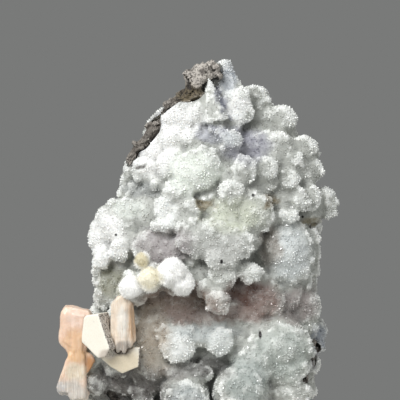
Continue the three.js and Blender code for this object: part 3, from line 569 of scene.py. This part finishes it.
def druseMaterial(name, gloss, bumpHeight, scatter):
    look = druse
    material, nodes, links, shader, at = newMaterial(name, {
        "Roughness": gloss, "IOR": 1.54, "Subsurface Weight": scatter,
        "Subsurface Scale": look["scatterDepth"] * mm, "Subsurface Radius": (1.0, 0.97, 0.94),
    })
    color = fromScreen(*look["color"])
    # painted highlight: lighter where the rims of the lobes stand out
    color = tint(nodes, links, color, relief(nodes, "rim"), look["firstRimHighlight"])
    spread = warped(nodes, links, at, *look["tintWander"])
    # real stains, together with patches of painted light and painted shade
    color = patchTints(nodes, links, spread, color, druseStainsLightAndShade, look["tintStrength"])
    # painted shade: the colour is multiplied darker in the deep hollows
    color = tint(nodes, links, color, relief(nodes, "hollow"), look["hollow"], "MULTIPLY")
    # painted highlight on the rims once more, over the patches and the painted shade
    color = tint(nodes, links, color, relief(nodes, "rim"), look["lastRimHighlight"])
    cloud = noiseNode(nodes, links, at, *look["cloudNoise"]).outputs["Fac"]
    color = tint(nodes, links, color, cloud, look["cloud"])
    sugar = noiseNode(nodes, links, at, *look["sugarNoise"]).outputs["Fac"]
    color = tint(nodes, links, color, sugar, look["sugarShade"])
    color = tint(nodes, links, color, sugar, look["sugarGlint"])
    color = patchTints(nodes, links, at, color, [(*look["speck"], *speck) for speck in druseSpecks])
    links.new(color, shader.inputs["Base Color"])
    if bumpHeight:
        bumpNode(nodes, links, sugar, bumpHeight, look["bumpStrength"], shader)
    return material


# Stains of the druse, with patches of painted light and painted shade among them: red, green and blue as
# seen, then x, z, half width and half height
druseStainsLightAndShade = [
    (146, 146, 158, 13.6, 94.6, 7.6, 5.6),  # shaded hollows of the right shoulder
    (172, 174, 183, 3.6, 98.4, 6.0, 3.0),
    (206, 210, 212, 9.2, 96.4, 3.0, 2.8),
    (186, 191, 197, 8.6, 114.5, 3.2, 5.6),  # angular knob at the crown
    # painted shade: the fin's right flank at the crown, the side away from the light
    (108, 111, 126, 5.4, 110.2, 1.2, 2.6),
    (110, 113, 128, 7.2, 106.8, 1.3, 2.6),
    (124, 126, 140, 8.9, 103.4, 1.2, 2.0),
    (252, 252, 250, -6.5, 101.5, 8.0, 6.0),  # white slope on the left: a white coat, made whiter by painted light where the key light falls
    (252, 252, 250, -13.0, 91.5, 8.0, 7.0),
    (248, 249, 247, 11.0, 105.5, 3.4, 4.8),
    (236, 241, 233, -1.6, 86.5, 8.4, 6.8),  # pale green-white lobes below it
    (246, 248, 245, -10.0, 74.5, 3.6, 6.0),
    (250, 250, 248, -27.5, 66.0, 6.4, 9.6),  # white dome on the left
    (146, 149, 147, -17.6, 81.6, 6.4, 2.8),
    (230, 234, 228, -21.5, 75.6, 6.0, 3.0),
    (204, 208, 192, 10.0, 74.6, 10.0, 5.6),
    (170, 163, 164, -10.5, 64.8, 9.6, 5.8),  # purple-grey hollow
    (168, 168, 150, -26.0, 53.5, 5.0, 5.0),
    (200, 201, 197, 6.0, 63.0, 9.0, 5.6),
    (206, 211, 211, 26.4, 62.6, 7.2, 8.8),
    (112, 98, 66, 20.4, 78.0, 2.2, 2.2),  # olive stains in small hollows
    (132, 120, 88, 1.2, 77.4, 3.4, 1.7),
    (146, 136, 108, 33.6, 71.4, 3.2, 1.6),
    (150, 130, 118, -6.0, 49.0, 14.0, 5.0),  # rusty ledge across the middle
    (144, 120, 112, 17.8, 48.4, 7.0, 6.4),
    (92, 56, 42, 12.4, 51.2, 5.4, 5.0),
    (148, 130, 122, 4.0, 44.6, 18.0, 3.0),
    (146, 137, 134, 29.6, 47.0, 6.6, 6.0),
    # painted shade: the recess at the right of the shelf, greyer and darker
    (160, 154, 146, 20.8, 65.0, 3.4, 6.6),
    (175, 182, 176, 24.0, 33.0, 10.4, 8.6),  # grey-green blocks at the lower right
    (163, 171, 167, 14.0, 26.0, 6.6, 8.6),
    (164, 170, 170, -4.0, 20.0, 7.0, 5.4),
    (196, 201, 200, -1.0, 39.6, 13.0, 2.8),  # hanging lobes
    (242, 244, 242, -6.6, 34.6, 5.2, 4.2),
    (222, 226, 224, 6.0, 36.0, 4.0, 4.0),
    (104, 102, 99, 1.6, 29.0, 8.0, 3.4),  # shaded recess below them
    (138, 136, 132, -8.0, 28.0, 5.0, 2.6),
    (84, 80, 74, -17.6, 88.8, 1.9, 0.8),  # crack on the left slope
    (170, 158, 142, -14.8, 37.0, 6.8, 12.0),  # brown-grey slab
    (84, 77, 74, -22.0, 23.0, 14.0, 7.4),  # dark foot on the left
    (146, 152, 162, 36.0, 36.4, 2.6, 5.0),  # bluish splinter on the right edge
]

# Dark specks on the druse: x, z, half width and half height
druseSpecks = [
    (17.7, 39.0, 0.5, 1.1), (6.3, 60.9, 0.5, 0.7), (15.6, 80.1, 0.5, 0.5), (30.6, 73.2, 0.4, 0.4),
    (-24.9, 68.1, 0.4, 0.4), (31.8, 18.9, 0.6, 0.5),
]


# Basalt matrix: dark broken rock with a pale weathered skin

basalt = {
    "voxel": 0.56,  # size of the rock's faces
    "chips": ((6.0, 0.9), (2.4, 0.34)),  # size and height of the chips that its surface breaks into
    "rough": ((1.0, 0.14),),
    "flatBelow": 0.4,  # under this height the cut face stays flat
    "relief": (40, 0.7),  # smoothing passes, and the height that counts as a full edge
    "slabDeep": 3.4,  # half depth of a slab
    "slabSquare": 0.7,  # below 1 a slab's shoulders are squarer
    "slabSwell": 0.2,  # how uneven a slab is
    "slabWave": 3.4,  # size of the waves that make it so
    "color": (112, 106, 99),
    "patches": [
        (184, 178, 170, 0.4, 116.0, 7.4, 5.4),  # pale crown
        (104, 94, 74, -3.0, 109.4, 5.0, 3.4),  # olive stain under it
    ],
    "patchWander": (2.5, 2.0),
    "coarseNoise": (4.0, 5.0, 0.62),  # size, detail and roughness
    "shade": (0.52, 0.36, 0.75, (62, 56, 50)),
    "edge": (0.15, 0.8, 0.45, (186, 180, 172)),
    "fineNoise": (0.62, 4.0, 0.75),
    "pit": (0.52, 0.4, 0.8, (34, 30, 27)),
    "crack": (-0.1, -0.7, 0.9, (34, 30, 27)),
    "speckSize": 1.9,
    "speck": (0.16, 0.08, 0.8, (205, 200, 188)),
    "gloss": (0.3, 0.7, 0.92, 0.68),  # two values of the fine noise, and the roughness at each
    "bump": (0.25, 0.8),  # height and strength
}

# slabs of rock: x, z, out, half length, half thickness and turn
rockSlabs = [
    (0.4, 115.4, 2.2, 6.4, 2.3, 0.62), (4.5, 116.4, 2.8, 2.5, 2.5, 0), (-3.7, 115.0, 1.4, 2.0, 2.0, 0.9),
    (-2.9, 109.6, 3.4, 4.2, 2.5, 0.5), (-8.3, 106.9, 3.2, 4.6, 1.2, 0.72), (-15.0, 97.4, 3.0, 6.8, 2.1, 0.8),
    (-13.2, 101.0, 1.4, 4.0, 1.6, 0.76), (-19.9, 91.6, 1.6, 4.2, 1.4, 1.1), (33.8, 29.4, -0.2, 3.2, 1.3, 1.4),
]


def basaltMaterial():
    look = basalt
    material, nodes, links, shader, at = newMaterial("basaltRock", {"Roughness": 0.82, "IOR": 1.5})
    spread = warped(nodes, links, at, *look["patchWander"])
    color = patchTints(nodes, links, spread, fromScreen(*look["color"]), look["patches"])
    coarse = noiseNode(nodes, links, at, *look["coarseNoise"]).outputs["Fac"]
    color = tint(nodes, links, color, coarse, look["shade"])
    color = tint(nodes, links, color, relief(nodes, "rim"), look["edge"])
    fine = noiseNode(nodes, links, at, *look["fineNoise"]).outputs["Fac"]
    color = tint(nodes, links, color, fine, look["pit"])
    color = tint(nodes, links, color, relief(nodes, "rim"), look["crack"])
    specks = cellNode(nodes, links, at, look["speckSize"]).outputs["Distance"]
    color = tint(nodes, links, color, specks, look["speck"])
    links.new(color, shader.inputs["Base Color"])
    links.new(mapRange(nodes, links, fine, *look["gloss"]), shader.inputs["Roughness"])
    bumpNode(nodes, links, fine, *look["bump"], shader)
    return material


def addSlab(bm, x, z, out, long, thick, turn):
    # a rough slab with square shoulders, lying along a slope in the front view
    laid = Matrix.Translation(place(x, z, out)) @ Matrix.Rotation(-turn, 4, "Y")
    for vert in addBall(bm, Vector((0, 0, 0)), (1, 1, 1), largeBall):
        across, deep, up = [math.copysign(abs(part) ** basalt["slabSquare"], part) for part in vert.co]
        vert.co = laid @ (Vector((across * long, deep * basalt["slabDeep"], up * thick)) * mm)
        bulge = noise.noise(vert.co / (basalt["slabWave"] * mm))
        vert.co += (vert.co - laid.translation) * basalt["slabSwell"] * bulge


def basaltBlank():
    # the rock before its surface is broken, which also cuts the crust
    bm = cadCopy("basalt_matrix")
    for slab in rockSlabs:
        addSlab(bm, *slab)
    return applied(meshFrom(bm, "basaltSolid"), "basaltBlank", remeshStep(basalt["voxel"]), smoothStep(1))


def basaltPiece(blank):
    mesh = blank.copy()
    mesh.name = "basaltMatrix"
    chipped(mesh, basalt["chips"], basalt["flatBelow"])
    roughen(mesh, basalt["rough"], basalt["flatBelow"])
    addRelief(mesh, "rim", *basalt["relief"])
    for polygon in mesh.polygons:
        polygon.use_smooth = False
    return addPiece("basaltMatrix", mesh, "basalt_matrix", basaltMaterial())


# Mordenite puffs: soft balls covered with fine needles

# round tufts: x, z, out and radius
puffBalls = [
    (-8.2, 57.8, 19.4, 4.4), (-5.2, 54.8, 18.8, 3.7), (-14.6, 55.6, 17.2, 3.6), (-20.2, 53.4, 17.4, 3.5),
    (-17.0, 60.8, 14.6, 2.3),
]
mordenite = {
    "core": 0.93,  # the solid heart's share of the radius
    "coreSwell": 0.1,
    "voxel": 0.3,
    "rough": ((2.2, 0.5), (1.0, 0.2)),  # size and height of the heart's unevenness
    "needleSides": 4,
    "needleSpacing": 0.24,
    "needleWide": 0.24,
    "needleTall": 1.0,
    "lean": 0.5,  # radians that a needle may lean
    "heartScatter": 0.3,
    "needleScatter": 0,
    "color": (252, 252, 250),
    "patches": [
        (240, 235, 216, -14.6, 56.5, 3.8, 4.2),  # cream ball
        (216, 208, 180, -17.4, 61.5, 2.4, 2.4),  # yellow ball
    ],
    "patchWander": (2.5, 2.5),
    "shadeNoise": (0.6, 2.0),
    "shade": (0.45, 0.62, 0.14, (212, 210, 203)),
    "seed": 5,
}


def puffMaterial(name, scatter):
    material, nodes, links, shader, at = newMaterial(name, {
        "Roughness": 0.85, "Subsurface Weight": scatter, "Subsurface Scale": 1.5 * mm,
        "Subsurface Radius": (1.0, 0.97, 0.92),
    })
    spread = warped(nodes, links, at, *mordenite["patchWander"])
    color = patchTints(nodes, links, spread, fromScreen(*mordenite["color"]), mordenite["patches"])
    grain = noiseNode(nodes, links, at, *mordenite["shadeNoise"]).outputs["Fac"]
    color = tint(nodes, links, color, grain, mordenite["shade"])
    links.new(color, shader.inputs["Base Color"])
    return material


def puffCore():
    bm = bmesh.new()
    for x, z, out, radius in puffBalls:
        size = radius * mordenite["core"] * mm
        addBall(bm, place(x, z, out), (size, size, size), largeBall, mordenite["coreSwell"])
    mesh = applied(meshFrom(bm, "puffBalls"), "mordeniteCores", remeshStep(mordenite["voxel"]), smoothStep(2))
    roughen(mesh, mordenite["rough"])
    return mesh


# Crystals: stilbite and apophyllite

crystalVoxel = 0.26  # size of the crystals' faces


def crystalMesh(nodeName, name, crystal):
    solid = meshFrom(cadCopy(nodeName), name)
    mesh = applied(solid, name, remeshStep(crystalVoxel), smoothStep(crystal["wear"]))
    roughen(mesh, crystal["rough"])
    return mesh


def striations(nodes, links, at, wide, tall):
    # fine grooves along a crystal's upright length
    stretched = vectorNode(nodes, links, "MULTIPLY", at, (1.0, 1.0, wide / tall))
    return noiseNode(nodes, links, stretched.outputs[0], wide, detail=3.0, rough=0.6).outputs["Fac"]


bowTie = {
    "rough": ((3.0, 0.3), (0.9, 0.08)),  # size and height of its unevenness
    "wear": 9,  # passes that take the sharpness off the edges
    "color": (228, 198, 176),
    "patches": [
        (230, 206, 190, -36.0, 44.0, 4.6, 3.0),  # block
        (226, 190, 156, -37.4, 37.0, 3.4, 3.4),  # waist
        (220, 182, 142, -36.4, 32.6, 3.6, 2.6),
        (198, 148, 104, -32.6, 29.4, 1.9, 2.8),  # orange corner beside it
        (222, 208, 186, -36.8, 27.4, 3.6, 3.0),  # fan
        (196, 190, 182, -37.8, 20.5, 5.4, 5.4),
        (182, 180, 178, -41.6, 22.0, 2.4, 3.4),
    ],
    "patchWander": (3.0, 2.6),
    "streaks": (0.5, 7.0),  # width and length
    "streak": (0.46, 0.7, 0.14, (248, 234, 222)),
    "fan": (-37.4, 22.0, 7.0, 8.0),  # x, z, half width and half height of the part with fine grooves
    "fanStreaks": (0.36, 9.0),
    "fanBright": (0.5, 0.66, 0.5, (246, 240, 230)),
    "fanShade": (0.44, 0.32, 0.4, (160, 146, 132)),
    "mottleNoise": (1.1, 3.0, 0.6),
    "mottle": (0.5, 0.34, 0.14, (196, 160, 132)),
    "gloss": (0.3, 0.7, 0.34, 0.55),
    "bump": (0.25, 0.5),
}


def bowTieMaterial():
    material, nodes, links, shader, at = newMaterial("stilbitePeach", {
        "Roughness": 0.4, "Subsurface Weight": 0.4, "Subsurface Scale": 1.8 * mm, "Coat Weight": 0.15,
        "Coat Roughness": 0.25, "Subsurface Radius": (1.0, 0.85, 0.7),
    })
    spread = warped(nodes, links, at, *bowTie["patchWander"])
    color = patchTints(nodes, links, spread, fromScreen(*bowTie["color"]), bowTie["patches"])
    grooves = striations(nodes, links, at, *bowTie["streaks"])
    color = tint(nodes, links, color, grooves, bowTie["streak"])
    fan = patchMask(nodes, links, at, bowTie["fan"])
    fineGrooves = striations(nodes, links, at, *bowTie["fanStreaks"])
    color = tint(nodes, links, color, fineGrooves, bowTie["fanBright"], within=fan)
    color = tint(nodes, links, color, fineGrooves, bowTie["fanShade"], within=fan)
    mottle = noiseNode(nodes, links, at, *bowTie["mottleNoise"]).outputs["Fac"]
    color = tint(nodes, links, color, mottle, bowTie["mottle"])
    links.new(color, shader.inputs["Base Color"])
    links.new(mapRange(nodes, links, grooves, *bowTie["gloss"]), shader.inputs["Roughness"])
    bumpNode(nodes, links, mottle, *bowTie["bump"], shader)
    return material


blade = {
    "rough": ((2.4, 0.2), (0.7, 0.08)),
    "wear": 5,
    "color": (230, 215, 197),
    "patches": [
        (210, 178, 146, -19.8, 43.0, 1.5, 6.6),  # peach right side
        (168, 160, 151, -22.6, 35.0, 3.4, 2.8),  # grey foot
        (232, 226, 216, -22.8, 43.0, 1.6, 5.4),  # pale left side
    ],
    "patchWander": (2.0, 1.4),
    "streaks": (0.4, 7.0),
    "streakShade": (0.54, 0.7, 0.42, (190, 160, 130)),
    "streakBright": (0.46, 0.34, 0.5, (246, 238, 226)),
    "gloss": (0.3, 0.7, 0.32, 0.5),
    "bump": (0.4, 0.8),
}


def bladeMaterial():
    material, nodes, links, shader, at = newMaterial("stilbiteCream", {
        "Roughness": 0.38, "Subsurface Weight": 0.35, "Subsurface Scale": 1.4 * mm, "Coat Weight": 0.15,
        "Coat Roughness": 0.25, "Subsurface Radius": (1.0, 0.88, 0.75),
    })
    spread = warped(nodes, links, at, *blade["patchWander"])
    color = patchTints(nodes, links, spread, fromScreen(*blade["color"]), blade["patches"])
    grooves = striations(nodes, links, at, *blade["streaks"])
    color = tint(nodes, links, color, grooves, blade["streakShade"])
    color = tint(nodes, links, color, grooves, blade["streakBright"])
    links.new(color, shader.inputs["Base Color"])
    links.new(mapRange(nodes, links, grooves, *blade["gloss"]), shader.inputs["Roughness"])
    bumpNode(nodes, links, grooves, *blade["bump"], shader)
    return material


twin = {
    "rough": ((3.0, 0.05),),
    "wear": 2,
    "shadedSide": Vector((0.88, -0.48, 0)),  # the way that the tablet's speckled side faces, away from the key light; that side is painted dark as painted shade
    "color": (240, 235, 222),
    "patches": [
        (226, 214, 190, -22.5, 31.0, 6.0, 4.2),  # cream wedge
        (200, 190, 178, -27.0, 33.6, 2.6, 1.8),
        (150, 141, 130, -23.6, 34.4, 3.6, 1.7),  # its dark upper edge
    ],
    "patchWander": (2.0, 1.6),
    "speckNoise": (0.5, 3.0, 0.7),
    "sideShade": (96, 90, 84),
    "sideLight": (0.4, 0.6, 1.0, (196, 190, 182)),
    "speck": (0.6, 0.72, 0.35, (150, 140, 128)),
    "gloss": (0.3, 0.7, 0.2, 0.4),
    "bump": (0.05, 0.3),
}


def apophylliteMaterial():
    material, nodes, links, shader, at = newMaterial("apophyllitePearl", {
        "Roughness": 0.25, "IOR": 1.54, "Subsurface Weight": 0.2, "Subsurface Scale": 1.5 * mm,
        "Coat Weight": 0.3, "Coat Roughness": 0.12, "Subsurface Radius": (1.0, 0.92, 0.82),
    })
    spread = warped(nodes, links, at, *twin["patchWander"])
    color = patchTints(nodes, links, spread, fromScreen(*twin["color"]), twin["patches"])
    specks = noiseNode(nodes, links, at, *twin["speckNoise"]).outputs["Fac"]
    # painted shade: the side facing away from the key light is made dark, with light specks
    speckled = tint(nodes, links, fromScreen(*twin["sideShade"]), specks, twin["sideLight"])
    color = mixColor(nodes, links, relief(nodes, "side"), color, speckled)
    color = tint(nodes, links, color, specks, twin["speck"])
    links.new(color, shader.inputs["Base Color"])
    links.new(mapRange(nodes, links, specks, *twin["gloss"]), shader.inputs["Roughness"])
    bumpNode(nodes, links, specks, *twin["bump"], shader)
    return material


# Small crystals scattered over a surface

scattering = {
    "stand": 0.1,  # how far a copy's middle stands above the surface, as a share of its height
    "rockGap": 0.25,  # no copy is nearer to the rock than this
    "densest": 1.6,  # copies at most in a square as wide as the spacing
    "rimRange": (-0.2, 0.5),  # the relief of flat faces and of rims
    "scales": (0.5, 1.4),  # least and largest scale of a copy
}


def grainShape(name, sides, wide, tall):
    bm = bmesh.new()
    lifted = Matrix.Translation((0, 0, scattering["stand"] * tall * mm))
    bmesh.ops.create_cone(bm, cap_ends=True, segments=sides, radius1=wide * mm / 2, radius2=0,
                          depth=tall * mm, matrix=lifted)
    holder = bpy.data.objects.new(name, meshFrom(bm, name))
    bpy.context.collection.objects.link(holder)
    return holder


def scatterNodes(name, grain, low, high, spacing, lean, seed, rock, faceShare):
    # a node group that covers the part of a surface between two heights with copies of one grain
    group = bpy.data.node_groups.new(name, "GeometryNodeTree")
    group.interface.new_socket("Geometry", in_out="INPUT", socket_type="NodeSocketGeometry")
    group.interface.new_socket("Geometry", in_out="OUTPUT", socket_type="NodeSocketGeometry")
    nodes, links = group.nodes, group.links
    source = nodes.new("NodeGroupInput")
    result = nodes.new("NodeGroupOutput")
    at = nodes.new("GeometryNodeInputPosition")
    parts = nodes.new("ShaderNodeSeparateXYZ")
    links.new(at.outputs[0], parts.inputs[0])
    above = mathNode(nodes, links, "GREATER_THAN", parts.outputs["Z"], low * mm)
    below = mathNode(nodes, links, "LESS_THAN", parts.outputs["Z"], high * mm)
    chosen = mathNode(nodes, links, "MULTIPLY", above, below)
    if rock:
        rockInfo = nodes.new("GeometryNodeObjectInfo")
        rockInfo.inputs["Object"].default_value = rock
        near = nodes.new("GeometryNodeProximity")
        links.new(rockInfo.outputs["Geometry"], near.inputs[0])
        gap = scattering["rockGap"] * mm
        clear = mathNode(nodes, links, "GREATER_THAN", near.outputs["Distance"], gap)
        chosen = mathNode(nodes, links, "MULTIPLY", chosen, clear)
    points = nodes.new("GeometryNodeDistributePointsOnFaces")
    points.distribute_method = "POISSON"
    points.inputs["Distance Min"].default_value = spacing * mm
    points.inputs["Density Max"].default_value = scattering["densest"] / (spacing * mm) ** 2
    points.inputs["Seed"].default_value = seed
    if faceShare < 1:
        rim = nodes.new("GeometryNodeInputNamedAttribute")
        rim.data_type = "FLOAT"
        rim.inputs["Name"].default_value = "rim"
        stands = rim.outputs["Attribute"]
        share = mapRange(nodes, links, stands, *scattering["rimRange"], faceShare, 1.0)
        links.new(share, points.inputs["Density Factor"])
    links.new(source.outputs[0], points.inputs["Mesh"])
    links.new(chosen, points.inputs["Selection"])
    turn = nodes.new("FunctionNodeRandomValue")
    turn.data_type = "FLOAT_VECTOR"
    turn.inputs[0].default_value = (-lean, -lean, 0)
    turn.inputs[1].default_value = (lean, lean, 2 * math.pi)
    turn.inputs["Seed"].default_value = seed + 1
    toRotation = nodes.new("FunctionNodeEulerToRotation")
    links.new(turn.outputs[0], toRotation.inputs[0])
    rotate = nodes.new("FunctionNodeRotateRotation")
    rotate.rotation_space = "LOCAL"
    links.new(points.outputs["Rotation"], rotate.inputs[0])
    links.new(toRotation.outputs[0], rotate.inputs[1])
    size = nodes.new("FunctionNodeRandomValue")
    size.data_type = "FLOAT"
    size.inputs["Seed"].default_value = seed + 2
    for socket, scale in zip((size.inputs[2], size.inputs[3]), scattering["scales"]):
        socket.default_value = scale
    grainInfo = nodes.new("GeometryNodeObjectInfo")
    grainInfo.inputs["Object"].default_value = grain
    copies = nodes.new("GeometryNodeInstanceOnPoints")
    links.new(points.outputs["Points"], copies.inputs["Points"])
    links.new(grainInfo.outputs["Geometry"], copies.inputs["Instance"])
    links.new(rotate.outputs[0], copies.inputs["Rotation"])
    links.new(size.outputs[1], copies.inputs["Scale"])
    joined = nodes.new("GeometryNodeRealizeInstances")
    links.new(copies.outputs[0], joined.inputs[0])
    links.new(joined.outputs[0], result.inputs[0])
    return group


def scattered(surface, name, grain, low, high, spacing, lean, seed, rock=None, faceShare=1):
    # faceShare is the share of the copies that stay on flat faces and in hollows, away from the rims
    group = scatterNodes(name, grain, low, high, spacing, lean, seed, rock, faceShare)
    return applied(surface, name, ("NODES", {"node_group": group}))


# The floor, the lights and the camera

studio = {
    "floorRadius": 108,
    "floorSides": 96,
    "floorDrop": 0.02,  # gap under the specimen, so that the two faces don't flicker
    "floorColors": ((196, 195, 190), (206, 205, 200)),
    "floorCloud": 30,  # size of the clouds between the two colours
    "backdrop": (121, 122, 121),
    "lens": 180,
    "sensor": 36,
    "clipStart": 10,
    "distance": 600,  # from the camera to the specimen
    "elevation": 3,  # degrees above the horizon
    "aimHeight": 78,
}
lightTarget = (0, 0, 70)
# power in watts, width and place
lights = {
    "keyLight": (9.6, 500, (-420, -500, 620)),
    "fillLight": (2.8, 600, (700, -600, 300)),
}


def addFloor():
    bm = bmesh.new()
    radius = studio["floorRadius"] * mm
    bmesh.ops.create_circle(bm, cap_ends=True, segments=studio["floorSides"], radius=radius)
    floor = bpy.data.objects.new("studioFloor", meshFrom(bm, "studioFloor"))
    bpy.context.collection.objects.link(floor)
    floor.location.z = -studio["floorDrop"] * mm
    material, nodes, links, shader, at = newMaterial("paleFloor", {"Roughness": 0.8})
    cloud = noiseNode(nodes, links, at, studio["floorCloud"], 2.0).outputs["Fac"]
    darker, paler = [fromScreen(*color) for color in studio["floorColors"]]
    links.new(mixColor(nodes, links, cloud, darker, paler), shader.inputs["Base Color"])
    floor.data.materials.append(material)


def addLight(name, power, size, location):
    data = bpy.data.lights.new(name, "AREA")
    data.energy = power
    data.size = size * mm
    light = bpy.data.objects.new(name, data)
    bpy.context.collection.objects.link(light)
    light.location = Vector(location) * mm
    toTarget = (Vector(lightTarget) - Vector(location)) * mm
    light.rotation_euler = toTarget.to_track_quat("-Z", "Y").to_euler()


def addCamera():
    data = bpy.data.cameras.new("viewCamera")
    data.lens = studio["lens"]
    data.sensor_width = studio["sensor"]
    data.clip_start = studio["clipStart"] * mm
    camera = bpy.data.objects.new("viewCamera", data)
    bpy.context.collection.objects.link(camera)
    tilt = math.radians(studio["elevation"])
    back = Vector((0, -math.cos(tilt), math.sin(tilt)))
    camera.location = Vector((0, 0, studio["aimHeight"] * mm)) + back * studio["distance"] * mm
    camera.rotation_euler = Euler((math.pi / 2 - tilt, 0, 0))
    bpy.context.scene.camera = camera


def addStudio():
    addCamera()
    addFloor()
    for name, values in lights.items():
        addLight(name, *values)
    world = bpy.data.worlds.new("studioWorld")
    world.use_nodes = True
    world.node_tree.nodes["Background"].inputs["Color"].default_value = fromScreen(*studio["backdrop"])
    bpy.context.scene.world = world
    bpy.context.scene.view_settings.view_transform = "Standard"


# Everything is made in order

addStudio()
print("studio ready")

rockBlank = basaltBlank()
rock = basaltPiece(rockBlank)
print("basalt made", len(rock.data.polygons))

rockCutter = cutterFrom("rockCutter", rockBlank)
crustMesh = druseCrust(rockCutter)
skinMaterial = druseMaterial("druseSkin", *druse["skin"])
crust = addPiece("druseCrust", crustMesh, "chalcedony_druse", skinMaterial)
for polygon in crust.data.polygons:
    polygon.use_smooth = True
print("druse crust made", len(crust.data.polygons))

# bands of height that the small crystals of the druse are made in
bands = [("Foot", 0.8, 22), ("Low", 22, 40), ("Middle", 40, 60), ("Shoulder", 60, 80), ("Crown", 80, 130)]
quartzGrain = grainShape("quartzGrain", druse["grainSides"], druse["grainWide"], druse["grainTall"])
grainMaterial = druseMaterial("druseGrains", *druse["crystal"])
for index, (label, low, high) in enumerate(bands):
    seed = druse["seed"] + 10 * index
    grains = scattered(crustMesh, "druseGrains" + label, quartzGrain, low, high, druse["grainSpacing"],
                       druse["grainTilt"], seed, rock=rockCutter, faceShare=druse["faceShare"])
    addPiece("druseGrains" + label, grains, "chalcedony_druse", grainMaterial)
    print("grains", label, len(grains.polygons))

puffMesh = puffCore()
heartMaterial = puffMaterial("mordeniteHeart", mordenite["heartScatter"])
addPiece("mordeniteCores", puffMesh, "mordenite_puffs", heartMaterial)
needle = grainShape("mordeniteNeedle", mordenite["needleSides"], mordenite["needleWide"],
                    mordenite["needleTall"])
needles = scattered(puffMesh, "mordeniteNeedles", needle, 0, 130, mordenite["needleSpacing"],
                    mordenite["lean"], mordenite["seed"])
needleMaterial = puffMaterial("mordeniteFibres", mordenite["needleScatter"])
addPiece("mordeniteNeedles", needles, "mordenite_puffs", needleMaterial)
print("puffs made", len(needles.polygons))

bowTieMesh = crystalMesh("stilbite_bow_tie", "stilbiteBowTie", bowTie)
addPiece("stilbiteBowTie", bowTieMesh, "stilbite_bow_tie", bowTieMaterial())
bladeMesh = crystalMesh("stilbite_blade", "stilbiteBlade", blade)
addPiece("stilbiteBlade", bladeMesh, "stilbite_blade", bladeMaterial())
twinMesh = crystalMesh("apophyllite_twin", "apophylliteTwin", twin)
# marks the side of the tablet that gets the painted shade
addFacing(twinMesh, "side", twin["shadedSide"])
addPiece("apophylliteTwin", twinMesh, "apophyllite_twin", apophylliteMaterial())
print("crystals made")

for helper in (quartzGrain, needle, rockCutter):
    bpy.data.objects.remove(helper)
